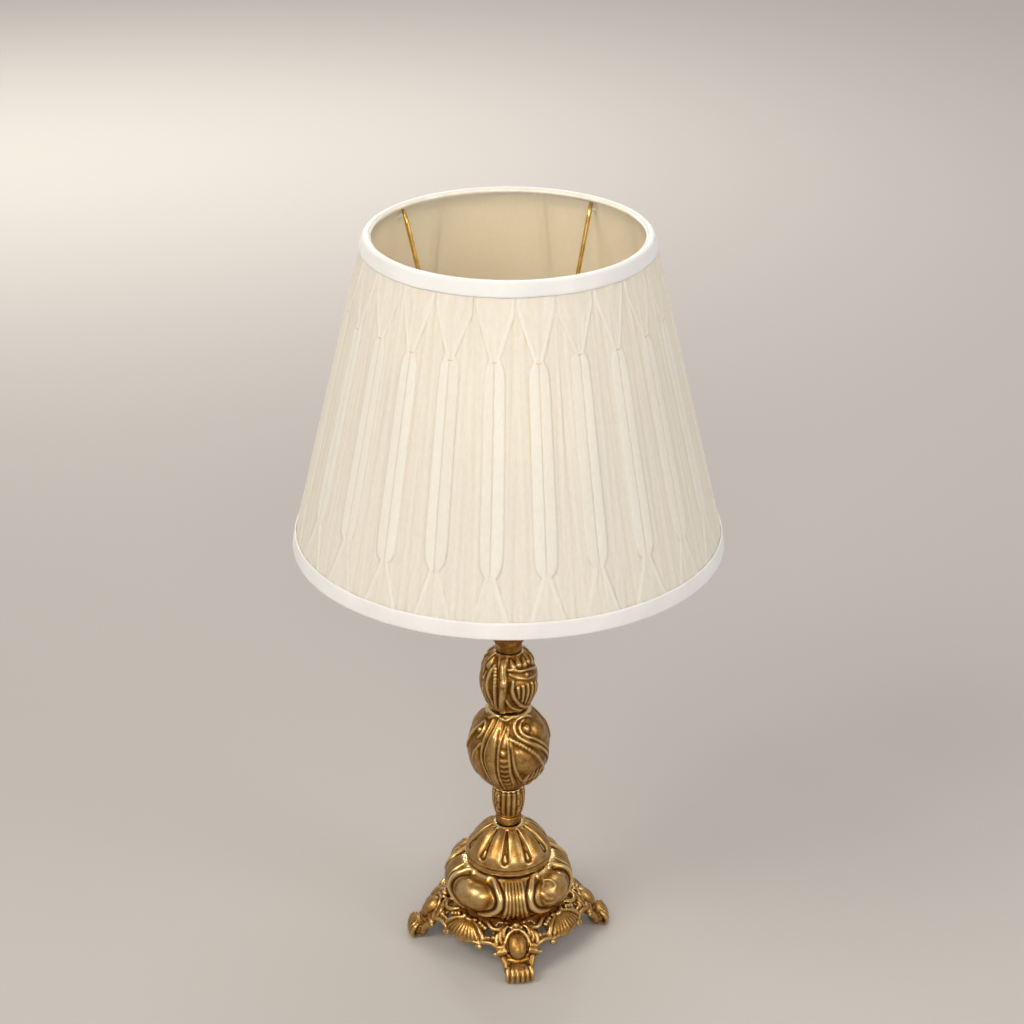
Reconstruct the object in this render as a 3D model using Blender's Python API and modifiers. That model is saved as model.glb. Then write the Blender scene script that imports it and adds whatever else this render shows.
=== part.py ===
"""Table lamp: a cast four-footed rococo stand, a screw lampholder and bulb, and a pleated empire shade.

Metres, +Z up. The origin is the centre of the stand where it meets the table, and the feet lie on
the X and Y axes. The stand is a stack of castings on one threaded tube, clamped by a nut at each end.
The shade is a wire frame whose four arms run down to a hub ring. The hub ring rests on the
lampholder's flange, under a knurled clamp ring.
"""

import math

import bmesh
import bpy
from mathutils import Matrix, Vector

# Clearances
SEAT_GAP = 0.0003  # between pieces that touch
TUBE_CLEARANCE = 0.0004  # radial, between the threaded tube and what it passes through

# Facets of turned pieces and wires
TURN_STEPS = 24
SHADE_STEPS = 40
WIRE_SIDES_LEVEL = 1  # bevel_resolution of wires

# Stand: number of feet, their reach and section
FEET = 4
FOOT_REACH = 0.0750  # from the axis to the tip of a paw
PAW_LENGTH = 0.0150
PAW_WIDTH = 0.0205
PAW_HEIGHT = 0.0140
PAW_ROUNDING = 0.0040
LEG_THICKNESS = 0.0130
LEG_NARROWING = 0.78  # thickness of the leg where it meets the paw, as a share
KNEE_R = 0.0560  # radius of the leg's outermost bulge
SHOULDER_SHARE = 0.77  # heights of the leg's shoulder and knee, as shares of the casting's
KNEE_SHARE = 0.65

# Stand: pierced skirt between the legs
SKIRT_RING_HEIGHT = 0.0060
SKIRT_RING_INNER_R = 0.0270
SKIRT_RING_OUTER_R = 0.0410
SKIRT_SIDE_R = 0.0540  # lowest edge of the skirt midway between two legs
SKIRT_SIDE_SHARE = 0.515  # its height, as a share of the casting's
SKIRT_CORNER_R = 0.0600  # lowest edge of the skirt over a leg
SKIRT_CORNER_SHARE = 0.485
SKIRT_WALL = 0.0030
SKIRT_ROWS = 3
SKIRT_HOLE_R = 0.0036
SKIRT_HOLE_ANGLES = (0.36, 0.72)  # radians from each foot, to either side
SKIRT_HOLE_SHARE = 0.48  # how far down the skirt the holes lie

# Stand: heights of the stacked castings, bottom to top
FOOT_CASTING_HEIGHT = 0.0330
DRUM_HEIGHT = 0.0300
DOME_HEIGHT = 0.0295
COLLAR_HEIGHT = 0.0065
STEM_HEIGHT = 0.0245
BALL_HEIGHT = 0.0660
VASE_HEIGHT = 0.0455
CUP_HEIGHT = 0.0220
CUP_FLOOR = 0.0100  # depth of metal under the sleeve
SLEEVE_HEIGHT = 0.0443

# Stand: radii
DRUM_TOP_R = 0.0310
DRUM_BELLY_R = 0.0475
DRUM_FOOT_R = 0.0400
DOME_RIM_R = 0.0317
DOME_TOP_R = 0.0092
COLLAR_LAND = 0.0009  # from the bore to the foot of the collar's bead
STEM_FOOT_R = 0.0082
STEM_BELLY_R = 0.0118
STEM_TOP_R = 0.0107
BALL_FOOT_R = 0.0107
BALL_R = 0.0301
BALL_TOP_R = 0.0143
VASE_FOOT_R = 0.0140
VASE_BELLY_R = 0.0208
VASE_TOP_R = 0.0091
CUP_FOOT_R = 0.0096
CUP_WALL = 0.0020
CUP_BRIM = 0.0087  # width of the cup's mouth round the sleeve
SLEEVE_R = 0.0110
SLEEVE_WALL = 0.0010
CASTING_WALL = 0.0030

# Threaded tube, its nuts and its bushes
TUBE_R = 0.0050
TUBE_BORE_R = 0.0036
TUBE_TAIL = 0.0115  # length below the clamp plate
TUBE_HEAD = 0.0075  # length above the lampholder's floor
NUT_ACROSS_FLATS = 0.0130
NUT_HEIGHT = 0.0045
CLAMP_PLATE_R = 0.0320
CLAMP_PLATE_THICKNESS = 0.0020
BUSH_FLANGE_R = 0.0058
BUSH_FLANGE_THICKNESS = 0.0020
BUSH_SHANK = 0.0040
BUSH_WALL = 0.0008

# Lampholder for an E27 bulb
HOLDER_CAP_HEIGHT = 0.0220
HOLDER_R = 0.0192
HOLDER_WALL = 0.0013
HOLDER_FLOOR = 0.0018
HOLDER_BARREL_HEIGHT = 0.0340
FLANGE_HEIGHT = 0.0170  # from the barrel's foot to the top of its flange
FLANGE_THICKNESS = 0.0020
FLANGE_REACH = 0.0053  # beyond the barrel
INSERT_FOOT = 0.0140  # above the cap's foot
INSERT_BASE = 0.0100
INSERT_HEIGHT = 0.0390
SCREW_SHELL_BORE_R = 0.0135
SCREW_SHELL_WALL = 0.0005
SCREW_SHELL_LENGTH = 0.0250
CONTACT_LENGTH = 0.0130
CONTACT_WIDTH = 0.0040
CONTACT_THICKNESS = 0.0006
CONTACT_SPRING = 0.0022
TERMINALS = 3
TERMINAL_R = 0.0020
TERMINAL_LENGTH = 0.0035
TERMINAL_CIRCLE_R = 0.0115

# Rotary key switch in the side of the lampholder's cap
KEY_SPINDLE_R = 0.0018
KEY_SPINDLE_INNER = 0.0125  # distance of the spindle's inner end from the axis
KEY_STANDOFF = 0.0078  # of the key from the cap
KEY_HEIGHT = 0.0115  # spindle above the cap's foot
KEY_WIDTH = 0.0120
KEY_THICKNESS = 0.0034
KEY_LENGTH = 0.0085

# Bulb
BULB_PIP_R = 0.0045
BULB_PIP_HEIGHT = 0.0016
BULB_INSULATOR_HEIGHT = 0.0026
BULB_THREAD_CLEARANCE = 0.0004  # radial, between the bulb's cap and the screw shell
BULB_CAP_WALL = 0.0006
BULB_CAP_LENGTH = 0.0230
BULB_NECK_STEP = 0.0003  # how far the glass stands out over the cap
BULB_R = 0.0300
BULB_GLASS_LENGTH = 0.0815
BULB_GLASS_WALL = 0.0009

# Clamp ring and shade hub
CLAMP_RING_HEIGHT = 0.0060
CLAMP_RING_WALL = 0.0045
HUB_WIDTH = 0.0049
HUB_THICKNESS = 0.0020
HUB_CLEARANCE = 0.0014  # radial, round the barrel

# Shade: outside of its trims, wires and cloth
SHADE_TOP_R = 0.0944
SHADE_BOTTOM_R = 0.1500
SHADE_HEIGHT = 0.2250
SHADE_BELOW_HUB = 0.0090  # lower edge of the shade, under the hub's seat
RING_WIRE_R = 0.0014
RIB_WIRE_R = 0.0012
ARM_WIRE_R = 0.0015
RIBS = 8
ARMS = 4
COVER_THICKNESS = 0.0012
LINER_THICKNESS = 0.0005
TRIM_THICKNESS = 0.0008
TRIM_OUTER_DEPTH = 0.0100
TRIM_INNER_DEPTH = 0.0050
NOTCH_CLEARANCE = 0.0010  # to either side of an arm, where it passes the liner

MATERIALS = {
    "antique_brass": ((0.42, 0.26, 0.08), 0.32, 1.0),
    "bright_brass": ((0.78, 0.58, 0.25), 0.22, 1.0),
    "steel": ((0.55, 0.55, 0.56), 0.35, 1.0),
    "nickel": ((0.66, 0.65, 0.62), 0.25, 1.0),
    "ceramic": ((0.86, 0.84, 0.79), 0.35, 0.0),
    "black_plastic": ((0.03, 0.03, 0.03), 0.45, 0.0),
    "opal_glass": ((0.93, 0.92, 0.88), 0.20, 0.0),
    "painted_wire": ((0.85, 0.82, 0.74), 0.50, 0.0),
    "pleated_cloth": ((0.90, 0.85, 0.73), 0.85, 0.0),
    "liner_cloth": ((0.84, 0.76, 0.60), 0.80, 0.0),
    "trim_tape": ((0.93, 0.92, 0.91), 0.85, 0.0),
}


# ---------------------------------------------------------------- modelling helpers


def clear_scene():
    for obj in list(bpy.data.objects):
        bpy.data.objects.remove(obj)


def make_collection(name):
    collection = bpy.data.collections.new(name)
    bpy.context.scene.collection.children.link(collection)
    return collection


def make_materials():
    made = {}
    for name, (colour, roughness, metallic) in MATERIALS.items():
        material = bpy.data.materials.new(name)
        material.use_nodes = True
        shader = material.node_tree.nodes["Principled BSDF"]
        shader.inputs["Base Color"].default_value = (*colour, 1.0)
        shader.inputs["Roughness"].default_value = roughness
        shader.inputs["Metallic"].default_value = metallic
        made[name] = material
    return made


def add_object(name, data, material):
    obj = bpy.data.objects.new(name, data)
    lamp.objects.link(obj)
    if data is not None and not data.materials:
        data.materials.append(finishes[material])
    return obj


def hide_cutter(obj):
    obj.hide_render = True
    obj.display_type = "WIRE"
    for collection in list(obj.users_collection):
        collection.objects.unlink(obj)
    cutters.objects.link(obj)
    return obj


def boolean(target, other, operation="DIFFERENCE"):
    modifier = target.modifiers.new(operation.lower() + "_" + other.name, "BOOLEAN")
    modifier.operation = operation
    modifier.object = other
    return hide_cutter(other)


def flowing(points, per_span=2):
    """Points on a smooth curve through the given ones (Catmull-Rom), ends kept."""
    padded = [points[0], *points, points[-1]]
    curve = []
    for i in range(1, len(padded) - 2):
        before, start, end, after = (Vector(p) for p in padded[i - 1 : i + 3])
        for step in range(per_span):
            t = step / per_span
            curve.append(
                tuple(
                    0.5
                    * (
                        2 * start
                        + (end - before) * t
                        + (2 * before - 5 * start + 4 * end - after) * t**2
                        + (3 * start - before - 3 * end + after) * t**3
                    )
                )
            )
    curve.append(tuple(points[-1]))
    return curve


def turned(name, material, outer, inner=None, foot=0.0, steps=TURN_STEPS):
    """A turned piece from profiles of (radius, height), bottom to top. They meet on the axis or are joined by flats."""
    loop = [(r, z + foot) for r, z in reversed(outer)]
    loop += [(r, z + foot) for r, z in inner or []]
    mesh = bpy.data.meshes.new(name)
    edges = [(i, i + 1) for i in range(len(loop) - 1)]
    if loop[0][0] > 0:
        edges.append((len(loop) - 1, 0))
    mesh.from_pydata([(r, 0.0, z) for r, z in loop], edges, [])
    obj = add_object(name, mesh, material)
    screw = obj.modifiers.new("turn", "SCREW")
    screw.steps = screw.render_steps = steps
    screw.use_merge_vertices = True
    screw.merge_threshold = 0.00001
    screw.use_smooth_shade = True
    return obj


def cylinder(name, material, radius, depth, sides=TURN_STEPS):
    bpy.ops.mesh.primitive_cylinder_add(vertices=sides, radius=radius, depth=depth)
    return adopt(name, material)


def box(name, material, size):
    bpy.ops.mesh.primitive_cube_add(size=1)
    obj = adopt(name, material)
    obj.data.transform(Matrix.Diagonal((*size, 1.0)))
    return obj


def adopt(name, material):
    """Takes the primitive that was just added into the lamp's collection."""
    obj = bpy.context.active_object
    obj.name = obj.data.name = name
    for collection in list(obj.users_collection):
        collection.objects.unlink(obj)
    lamp.objects.link(obj)
    obj.data.materials.append(finishes[material])
    return obj


def wire(name, material, start, end, radius):
    curve = bpy.data.curves.new(name, "CURVE")
    curve.dimensions = "3D"
    curve.bevel_depth = radius
    curve.bevel_resolution = WIRE_SIDES_LEVEL
    curve.use_fill_caps = True
    spline = curve.splines.new("POLY")
    spline.points.add(1)
    spline.points[0].co = (*start, 1.0)
    spline.points[1].co = (*end, 1.0)
    return add_object(name, curve, material)


def to_mesh_object(curve_obj):
    """The curve's tube as a mesh object in the same place, with its caps welded. The curve is removed."""
    graph = bpy.context.evaluated_depsgraph_get()
    mesh = bpy.data.meshes.new_from_object(curve_obj.evaluated_get(graph))
    shape = bmesh.new()
    shape.from_mesh(mesh)
    bmesh.ops.remove_doubles(shape, verts=shape.verts, dist=0.00001)
    shape.to_mesh(mesh)
    shape.free()
    obj = bpy.data.objects.new(curve_obj.name, mesh)
    lamp.objects.link(obj)
    obj.matrix_world = curve_obj.matrix_world.copy()
    bpy.data.objects.remove(curve_obj)
    return obj


def spread(count, first_angle=0.0):
    return [first_angle + 2 * math.pi * i / count for i in range(count)]


def polar(radius, angle, height):
    return (radius * math.cos(angle), radius * math.sin(angle), height)


# ---------------------------------------------------------------- heights of the stack

drum_z = FOOT_CASTING_HEIGHT + SEAT_GAP
dome_z = drum_z + DRUM_HEIGHT + SEAT_GAP
collar_z = dome_z + DOME_HEIGHT + SEAT_GAP
stem_z = collar_z + COLLAR_HEIGHT + SEAT_GAP
ball_z = stem_z + STEM_HEIGHT + SEAT_GAP
vase_z = ball_z + BALL_HEIGHT + SEAT_GAP
cup_z = vase_z + VASE_HEIGHT + SEAT_GAP
sleeve_z = cup_z + CUP_FLOOR + SEAT_GAP
holder_z = sleeve_z + SLEEVE_HEIGHT + SEAT_GAP
barrel_z = holder_z + HOLDER_CAP_HEIGHT + SEAT_GAP
flange_top_z = barrel_z + FLANGE_HEIGHT
hub_z = flange_top_z + SEAT_GAP
clamp_ring_z = hub_z + HUB_THICKNESS + SEAT_GAP
shade_bottom_z = hub_z - SHADE_BELOW_HUB
shade_top_z = shade_bottom_z + SHADE_HEIGHT
clamp_plate_z = FOOT_CASTING_HEIGHT - SKIRT_RING_HEIGHT - SEAT_GAP - CLAMP_PLATE_THICKNESS
tube_foot_z = clamp_plate_z - TUBE_TAIL
tube_top_z = holder_z + HOLDER_FLOOR + TUBE_HEAD
bore_r = TUBE_R + TUBE_CLEARANCE
nut_corner_r = NUT_ACROSS_FLATS / math.sqrt(3)
flange_r = HOLDER_R + FLANGE_REACH
hub_bore_r = HOLDER_R + HUB_CLEARANCE
hub_r = hub_bore_r + HUB_WIDTH


# ---------------------------------------------------------------- stand


def radius_at(profile, height):
    """Radius of a profile at a height, between its points."""
    for (r0, z0), (r1, z1) in zip(profile, profile[1:]):
        if z0 <= height <= z1:
            return r0 + (r1 - r0) * (height - z0) / (z1 - z0)
    return profile[-1][0]


def hollow_casting(name, outer, foot, wall=CASTING_WALL):
    """A turned casting, hollow inside its wall, with a bored floor and top for the tube."""
    top = outer[-1][1]
    cavity = [
        (max(r - wall, bore_r), min(max(z, wall), top - wall))
        for r, z in outer[::2]
        if wall <= z <= top - wall
    ]
    ceiling_r = max(radius_at(outer, top - wall) - wall, bore_r)
    inner = [(bore_r, 0.0), (bore_r, wall), (cavity[0][0], wall), *cavity]
    inner += [(ceiling_r, top - wall), (bore_r, top - wall), (bore_r, top)]
    merged = [inner[0]]
    for point in inner[1:]:
        if (Vector(point) - Vector(merged[-1])).length > 0.0001:
            merged.append(point)
    return turned(name, "antique_brass", outer, merged, foot)


def make_skirt():
    """The pierced skirt: a ring that the drum stands on, flaring to a four-cornered lower edge."""
    ring_z = FOOT_CASTING_HEIGHT
    skirt = bmesh.new()
    made = bmesh.ops.create_circle(skirt, segments=SHADE_STEPS, radius=SKIRT_RING_OUTER_R)
    edges = [edge for edge in skirt.edges]
    rows = [made["verts"]]
    for _ in range(SKIRT_ROWS):
        grown = bmesh.ops.extrude_edge_only(skirt, edges=edges)["geom"]
        rows.append([v for v in grown if isinstance(v, bmesh.types.BMVert)])
        edges = [e for e in grown if isinstance(e, bmesh.types.BMEdge)]
    for row, vertices in enumerate(rows):
        share = row / SKIRT_ROWS
        for vertex in vertices:
            angle = math.atan2(vertex.co.y, vertex.co.x)
            corner = (0.5 + 0.5 * math.cos(FEET * angle)) ** 2
            edge_r = SKIRT_SIDE_R + (SKIRT_CORNER_R - SKIRT_SIDE_R) * corner
            edge_share = SKIRT_SIDE_SHARE + (SKIRT_CORNER_SHARE - SKIRT_SIDE_SHARE) * corner
            radius = SKIRT_RING_OUTER_R + (edge_r - SKIRT_RING_OUTER_R) * share
            drop = (ring_z * (1 - edge_share) - SKIRT_WALL / 2) * share**1.4
            vertex.co = polar(radius, angle, ring_z - SKIRT_WALL / 2 - drop)
    bmesh.ops.recalc_face_normals(skirt, faces=skirt.faces)
    mesh = bpy.data.meshes.new("skirt")
    skirt.to_mesh(mesh)
    skirt.free()
    obj = add_object("skirt", mesh, "antique_brass")
    wall = obj.modifiers.new("wall", "SOLIDIFY")
    wall.thickness = SKIRT_WALL
    wall.offset = 0.0
    return obj


def make_leg(index, angle):
    """One S-shaped leg: shoulder under the ring, knee, and ankle behind the paw."""
    ankle_r = FOOT_REACH - PAW_LENGTH
    route = flowing(
        [
            (SKIRT_RING_OUTER_R - LEG_THICKNESS / 2, SHOULDER_SHARE * FOOT_CASTING_HEIGHT),
            (KNEE_R - LEG_THICKNESS / 2, KNEE_SHARE * FOOT_CASTING_HEIGHT),
            (ankle_r, PAW_HEIGHT * 0.62),
            (FOOT_REACH - PAW_LENGTH / 2, PAW_HEIGHT * 0.5),
        ],
    )
    curve = bpy.data.curves.new(f"leg_{index}", "CURVE")
    curve.dimensions = "3D"
    curve.bevel_depth = LEG_THICKNESS / 2
    curve.bevel_resolution = 1
    curve.use_fill_caps = True
    spline = curve.splines.new("POLY")
    spline.points.add(len(route) - 1)
    for i, (point, (radius, height)) in enumerate(zip(spline.points, route)):
        point.co = (*polar(radius, angle, height), 1.0)
        point.radius = 1.0 + (LEG_NARROWING - 1.0) * i / (len(route) - 1)
    return to_mesh_object(add_object(f"leg_{index}", curve, "antique_brass"))


def make_paw(index, angle):
    paw = box(f"paw_{index}", "antique_brass", (PAW_LENGTH, PAW_WIDTH, PAW_HEIGHT))
    paw.location = polar(FOOT_REACH - PAW_LENGTH / 2, angle, PAW_HEIGHT / 2)
    paw.rotation_euler.z = angle
    rounding = paw.modifiers.new("rounding", "BEVEL")
    rounding.width = PAW_ROUNDING
    rounding.segments = 2
    return paw


def make_foot_casting():
    """Ring, pierced skirt, four legs and four paws: one casting."""
    ring = turned(
        "foot_casting",
        "antique_brass",
        [(SKIRT_RING_OUTER_R, -SKIRT_RING_HEIGHT), (SKIRT_RING_OUTER_R, 0.0)],
        [(SKIRT_RING_INNER_R, -SKIRT_RING_HEIGHT), (SKIRT_RING_INNER_R, 0.0)],
        foot=FOOT_CASTING_HEIGHT,
        steps=SHADE_STEPS,
    )
    boolean(ring, make_skirt(), "UNION")
    for index, angle in enumerate(spread(FEET)):
        boolean(ring, make_leg(index, angle), "UNION")
        boolean(ring, make_paw(index, angle), "UNION")
    hole_r = SKIRT_RING_OUTER_R + (SKIRT_SIDE_R - SKIRT_RING_OUTER_R) * SKIRT_HOLE_SHARE
    for foot_index, foot_angle in enumerate(spread(FEET)):
        for side in (-1, 1):
            for hole_index, offset in enumerate(SKIRT_HOLE_ANGLES):
                name = f"skirt_hole_{foot_index}_{hole_index}_{'left' if side < 0 else 'right'}"
                hole = cylinder(name, "antique_brass", SKIRT_HOLE_R, SKIRT_CORNER_R, sides=8)
                angle = foot_angle + side * offset
                hole.location = polar(hole_r, angle, FOOT_CASTING_HEIGHT * 0.75)
                hole.rotation_euler = (0.0, math.radians(35), angle)
                boolean(ring, hole)
    return ring


def make_drum():
    outer = flowing(
        [
            (DRUM_FOOT_R, 0.0),
            (DRUM_FOOT_R + 0.72 * (DRUM_BELLY_R - DRUM_FOOT_R), 0.16 * DRUM_HEIGHT),
            (DRUM_BELLY_R, 0.42 * DRUM_HEIGHT),
            (DRUM_TOP_R + 0.72 * (DRUM_BELLY_R - DRUM_TOP_R), 0.78 * DRUM_HEIGHT),
            (DRUM_TOP_R, DRUM_HEIGHT),
        ]
    )
    return hollow_casting("drum_casting", outer, drum_z)


def make_dome():
    rim = 0.0025
    outer = [(DOME_RIM_R - rim, 0.0), (DOME_RIM_R, 0.4 * rim), (DOME_RIM_R, rim)]
    outer.append((DOME_RIM_R - 0.05 * rim, 1.8 * rim))
    outer += flowing(
        [
            (DOME_RIM_R - 0.25 * rim, 0.24 * DOME_HEIGHT),
            (DOME_TOP_R + 0.83 * (DOME_RIM_R - DOME_TOP_R), 0.46 * DOME_HEIGHT),
            (DOME_TOP_R + 0.44 * (DOME_RIM_R - DOME_TOP_R), 0.80 * DOME_HEIGHT),
            (DOME_TOP_R, DOME_HEIGHT),
        ]
    )
    return hollow_casting("dome_casting", outer, dome_z)


def make_collar():
    half = COLLAR_HEIGHT / 2
    bead = [
        (bore_r + COLLAR_LAND + half * math.sin(turn), half - half * math.cos(turn))
        for turn in (math.pi * step / 6 for step in range(7))
    ]
    bore = [(bore_r, 0.0), (bore_r, COLLAR_HEIGHT)]
    return turned("collar_ring", "antique_brass", bead, bore, collar_z)


def make_stem():
    outer = flowing(
        [
            (STEM_FOOT_R, 0.0),
            (STEM_FOOT_R, 0.18 * STEM_HEIGHT),
            (STEM_BELLY_R, 0.60 * STEM_HEIGHT),
            (STEM_TOP_R, STEM_HEIGHT),
        ]
    )
    bore = [(bore_r, 0.0), (bore_r, STEM_HEIGHT)]
    return turned("stem_casting", "antique_brass", outer, bore, stem_z)


def make_ball():
    outer = flowing(
        [
            (BALL_FOOT_R, 0.0),
            (0.65 * BALL_R, 0.10 * BALL_HEIGHT),
            (0.87 * BALL_R, 0.25 * BALL_HEIGHT),
            (BALL_R, 0.51 * BALL_HEIGHT),
            (0.88 * BALL_R, 0.74 * BALL_HEIGHT),
            (0.62 * BALL_R, 0.90 * BALL_HEIGHT),
            (BALL_TOP_R, BALL_HEIGHT),
        ]
    )
    return hollow_casting("ball_casting", outer, ball_z)


def make_vase():
    outer = flowing(
        [
            (VASE_FOOT_R, 0.0),
            (0.92 * VASE_BELLY_R, 0.30 * VASE_HEIGHT),
            (VASE_BELLY_R, 0.54 * VASE_HEIGHT),
            (0.76 * VASE_BELLY_R, 0.86 * VASE_HEIGHT),
            (VASE_TOP_R, VASE_HEIGHT),
        ]
    )
    return hollow_casting("vase_casting", outer, vase_z)


def make_cup():
    floor_r = SLEEVE_R + SEAT_GAP
    lip_r = floor_r + CUP_BRIM
    outer = flowing(
        [
            (CUP_FOOT_R, 0.0),
            (CUP_FOOT_R, 0.45 * CUP_FLOOR),
            (floor_r + CUP_WALL, CUP_FLOOR),
            (lip_r, 0.92 * CUP_HEIGHT),
            (lip_r, CUP_HEIGHT),
        ]
    )
    inner = [(bore_r, 0.0), (bore_r, CUP_FLOOR), (floor_r, CUP_FLOOR)]
    inner += [(floor_r, 1.15 * CUP_FLOOR), (lip_r - 0.8 * CUP_WALL, CUP_HEIGHT)]
    return turned("drip_cup", "antique_brass", outer, inner, cup_z)


def make_sleeve():
    """The plain tube between cup and lampholder, with a bored top."""
    outer = [(SLEEVE_R, 0.0), (SLEEVE_R, SLEEVE_HEIGHT)]
    bore = SLEEVE_R - SLEEVE_WALL
    inner = [(bore, 0.0), (bore, SLEEVE_HEIGHT - SLEEVE_WALL)]
    inner += [(bore_r, SLEEVE_HEIGHT - SLEEVE_WALL), (bore_r, SLEEVE_HEIGHT)]
    return turned("sleeve_tube", "antique_brass", outer, inner, sleeve_z)


# ---------------------------------------------------------------- tube, nuts and bushes


def make_tube():
    length = tube_top_z - tube_foot_z
    outer = [(TUBE_R, 0.0), (TUBE_R, length)]
    bore = [(TUBE_BORE_R, 0.0), (TUBE_BORE_R, length)]
    return turned("threaded_tube", "steel", outer, bore, tube_foot_z)


def make_nut(name, foot):
    nut = cylinder(name, "bright_brass", nut_corner_r, NUT_HEIGHT, sides=6)
    nut.location.z = foot + NUT_HEIGHT / 2
    hole = cylinder(name + "_hole", "bright_brass", bore_r, 2 * NUT_HEIGHT, sides=TURN_STEPS)
    hole.location.z = nut.location.z
    boolean(nut, hole)
    return nut


def make_clamp_plate():
    outer = [(CLAMP_PLATE_R, 0.0), (CLAMP_PLATE_R, CLAMP_PLATE_THICKNESS)]
    bore = [(bore_r, 0.0), (bore_r, CLAMP_PLATE_THICKNESS)]
    return turned("clamp_plate", "steel", outer, bore, clamp_plate_z)


def make_bush(name, seat, upwards):
    """A flanged plastic bush in one end of the tube, where the lead runs through."""
    shank_r = TUBE_BORE_R - SEAT_GAP
    bore = shank_r - BUSH_WALL
    flange = BUSH_FLANGE_THICKNESS
    outer = [(BUSH_FLANGE_R, -flange), (BUSH_FLANGE_R, 0.0), (shank_r, 0.0), (shank_r, BUSH_SHANK)]
    inner = [(bore, -flange), (bore, BUSH_SHANK)]
    bush = turned(name, "black_plastic", outer, inner)
    bush.location.z = seat
    if upwards:
        bush.rotation_euler.x = math.pi
    return bush


# ---------------------------------------------------------------- lampholder


def make_holder_cap():
    foot_r = nut_corner_r + 2 * SEAT_GAP + HOLDER_WALL
    outer = flowing(
        [
            (foot_r, 0.0),
            (0.35 * foot_r + 0.65 * HOLDER_R, 0.24 * HOLDER_CAP_HEIGHT),
            (HOLDER_R, 0.55 * HOLDER_CAP_HEIGHT),
            (HOLDER_R, HOLDER_CAP_HEIGHT),
        ]
    )
    inner = [(bore_r, 0.0), (bore_r, HOLDER_FLOOR)]
    inner += [(foot_r - HOLDER_WALL, HOLDER_FLOOR)]
    inner += [(r - HOLDER_WALL, z) for r, z in outer if z > 1.2 * HOLDER_FLOOR]
    cap = turned("holder_cap", "bright_brass", outer, inner, holder_z)
    hole = cylinder("key_hole", "bright_brass", KEY_SPINDLE_R + SEAT_GAP, HOLDER_R, sides=12)
    hole.rotation_euler.y = math.pi / 2
    hole.location = (HOLDER_R, 0.0, holder_z + KEY_HEIGHT)
    boolean(cap, hole)
    return cap


def make_holder_barrel():
    chamfer = 0.0004
    outer = [
        (HOLDER_R, 0.0),
        (HOLDER_R, FLANGE_HEIGHT - FLANGE_THICKNESS),
        (flange_r - chamfer, FLANGE_HEIGHT - FLANGE_THICKNESS),
        (flange_r, FLANGE_HEIGHT - FLANGE_THICKNESS + chamfer),
        (flange_r, FLANGE_HEIGHT),
        (HOLDER_R, FLANGE_HEIGHT),
        (HOLDER_R, HOLDER_BARREL_HEIGHT),
    ]
    bore = HOLDER_R - HOLDER_WALL
    inner = [(bore, 0.0), (bore, HOLDER_BARREL_HEIGHT)]
    return turned("holder_barrel", "bright_brass", outer, inner, barrel_z)


def make_holder_insert():
    """The ceramic core that holds the contacts."""
    outer_r = HOLDER_R - HOLDER_WALL - SEAT_GAP
    well_r = SCREW_SHELL_BORE_R + SCREW_SHELL_WALL + SEAT_GAP
    outer = [(outer_r, 0.0), (outer_r, INSERT_HEIGHT)]
    lead_hole = 0.0020
    inner = [(lead_hole, 0.0), (lead_hole, INSERT_BASE), (well_r, INSERT_BASE)]
    inner += [(well_r, INSERT_HEIGHT)]
    return turned("holder_insert", "ceramic", outer, inner, holder_z + INSERT_FOOT)


def make_screw_shell():
    outer_r = SCREW_SHELL_BORE_R + SCREW_SHELL_WALL
    well_z = holder_z + INSERT_FOOT + INSERT_BASE + SEAT_GAP
    outer = [(outer_r, 0.0), (outer_r, SCREW_SHELL_LENGTH)]
    inner = [(SCREW_SHELL_BORE_R, 0.0), (SCREW_SHELL_BORE_R, SCREW_SHELL_LENGTH)]
    return turned("screw_shell", "bright_brass", outer, inner, well_z)


def make_centre_contact():
    """A bent leaf spring on the floor of the ceramic core."""
    floor_z = holder_z + INSERT_FOOT + INSERT_BASE + SEAT_GAP
    half = CONTACT_LENGTH / 2
    thickness = CONTACT_THICKNESS
    under = [(-half, 0.0), (-0.5 * half, 0.0), (0.0, CONTACT_SPRING - thickness)]
    under += [(half, CONTACT_SPRING - 2 * thickness)]
    over = [(x, z + thickness) for x, z in reversed(under)]
    curve = bpy.data.curves.new("centre_contact", "CURVE")
    curve.dimensions = "2D"
    curve.fill_mode = "BOTH"
    curve.extrude = CONTACT_WIDTH / 2
    spline = curve.splines.new("POLY")
    outline = under + over
    spline.points.add(len(outline) - 1)
    for point, (x, z) in zip(spline.points, outline):
        point.co = (x, z, 0.0, 1.0)
    spline.use_cyclic_u = True
    leaf = add_object("centre_contact", curve, "bright_brass")
    leaf.rotation_euler.x = math.pi / 2
    leaf.location.z = floor_z
    return leaf


def make_terminal(index, angle):
    screw = cylinder(f"terminal_screw_{index}", "bright_brass", TERMINAL_R, TERMINAL_LENGTH, sides=12)
    height = holder_z + INSERT_FOOT - SEAT_GAP - TERMINAL_LENGTH / 2
    screw.location = polar(TERMINAL_CIRCLE_R, angle, height)
    return screw


def make_key_switch():
    """The spindle in the cap's side and the flat key that turns it."""
    key_z = holder_z + KEY_HEIGHT
    key_x = HOLDER_R + KEY_STANDOFF
    start = (KEY_SPINDLE_INNER, 0.0, key_z)
    spindle = wire("switch_spindle", "bright_brass", start, (key_x, 0.0, key_z), KEY_SPINDLE_R)
    spindle.data.bevel_resolution = 2
    key = box("switch_key", "bright_brass", (KEY_LENGTH, KEY_WIDTH, KEY_THICKNESS))
    key.location = (key_x + SEAT_GAP + KEY_LENGTH / 2, 0.0, key_z)
    rounding = key.modifiers.new("rounding", "BEVEL")
    rounding.width = 0.3 * KEY_THICKNESS
    rounding.segments = 2


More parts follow.
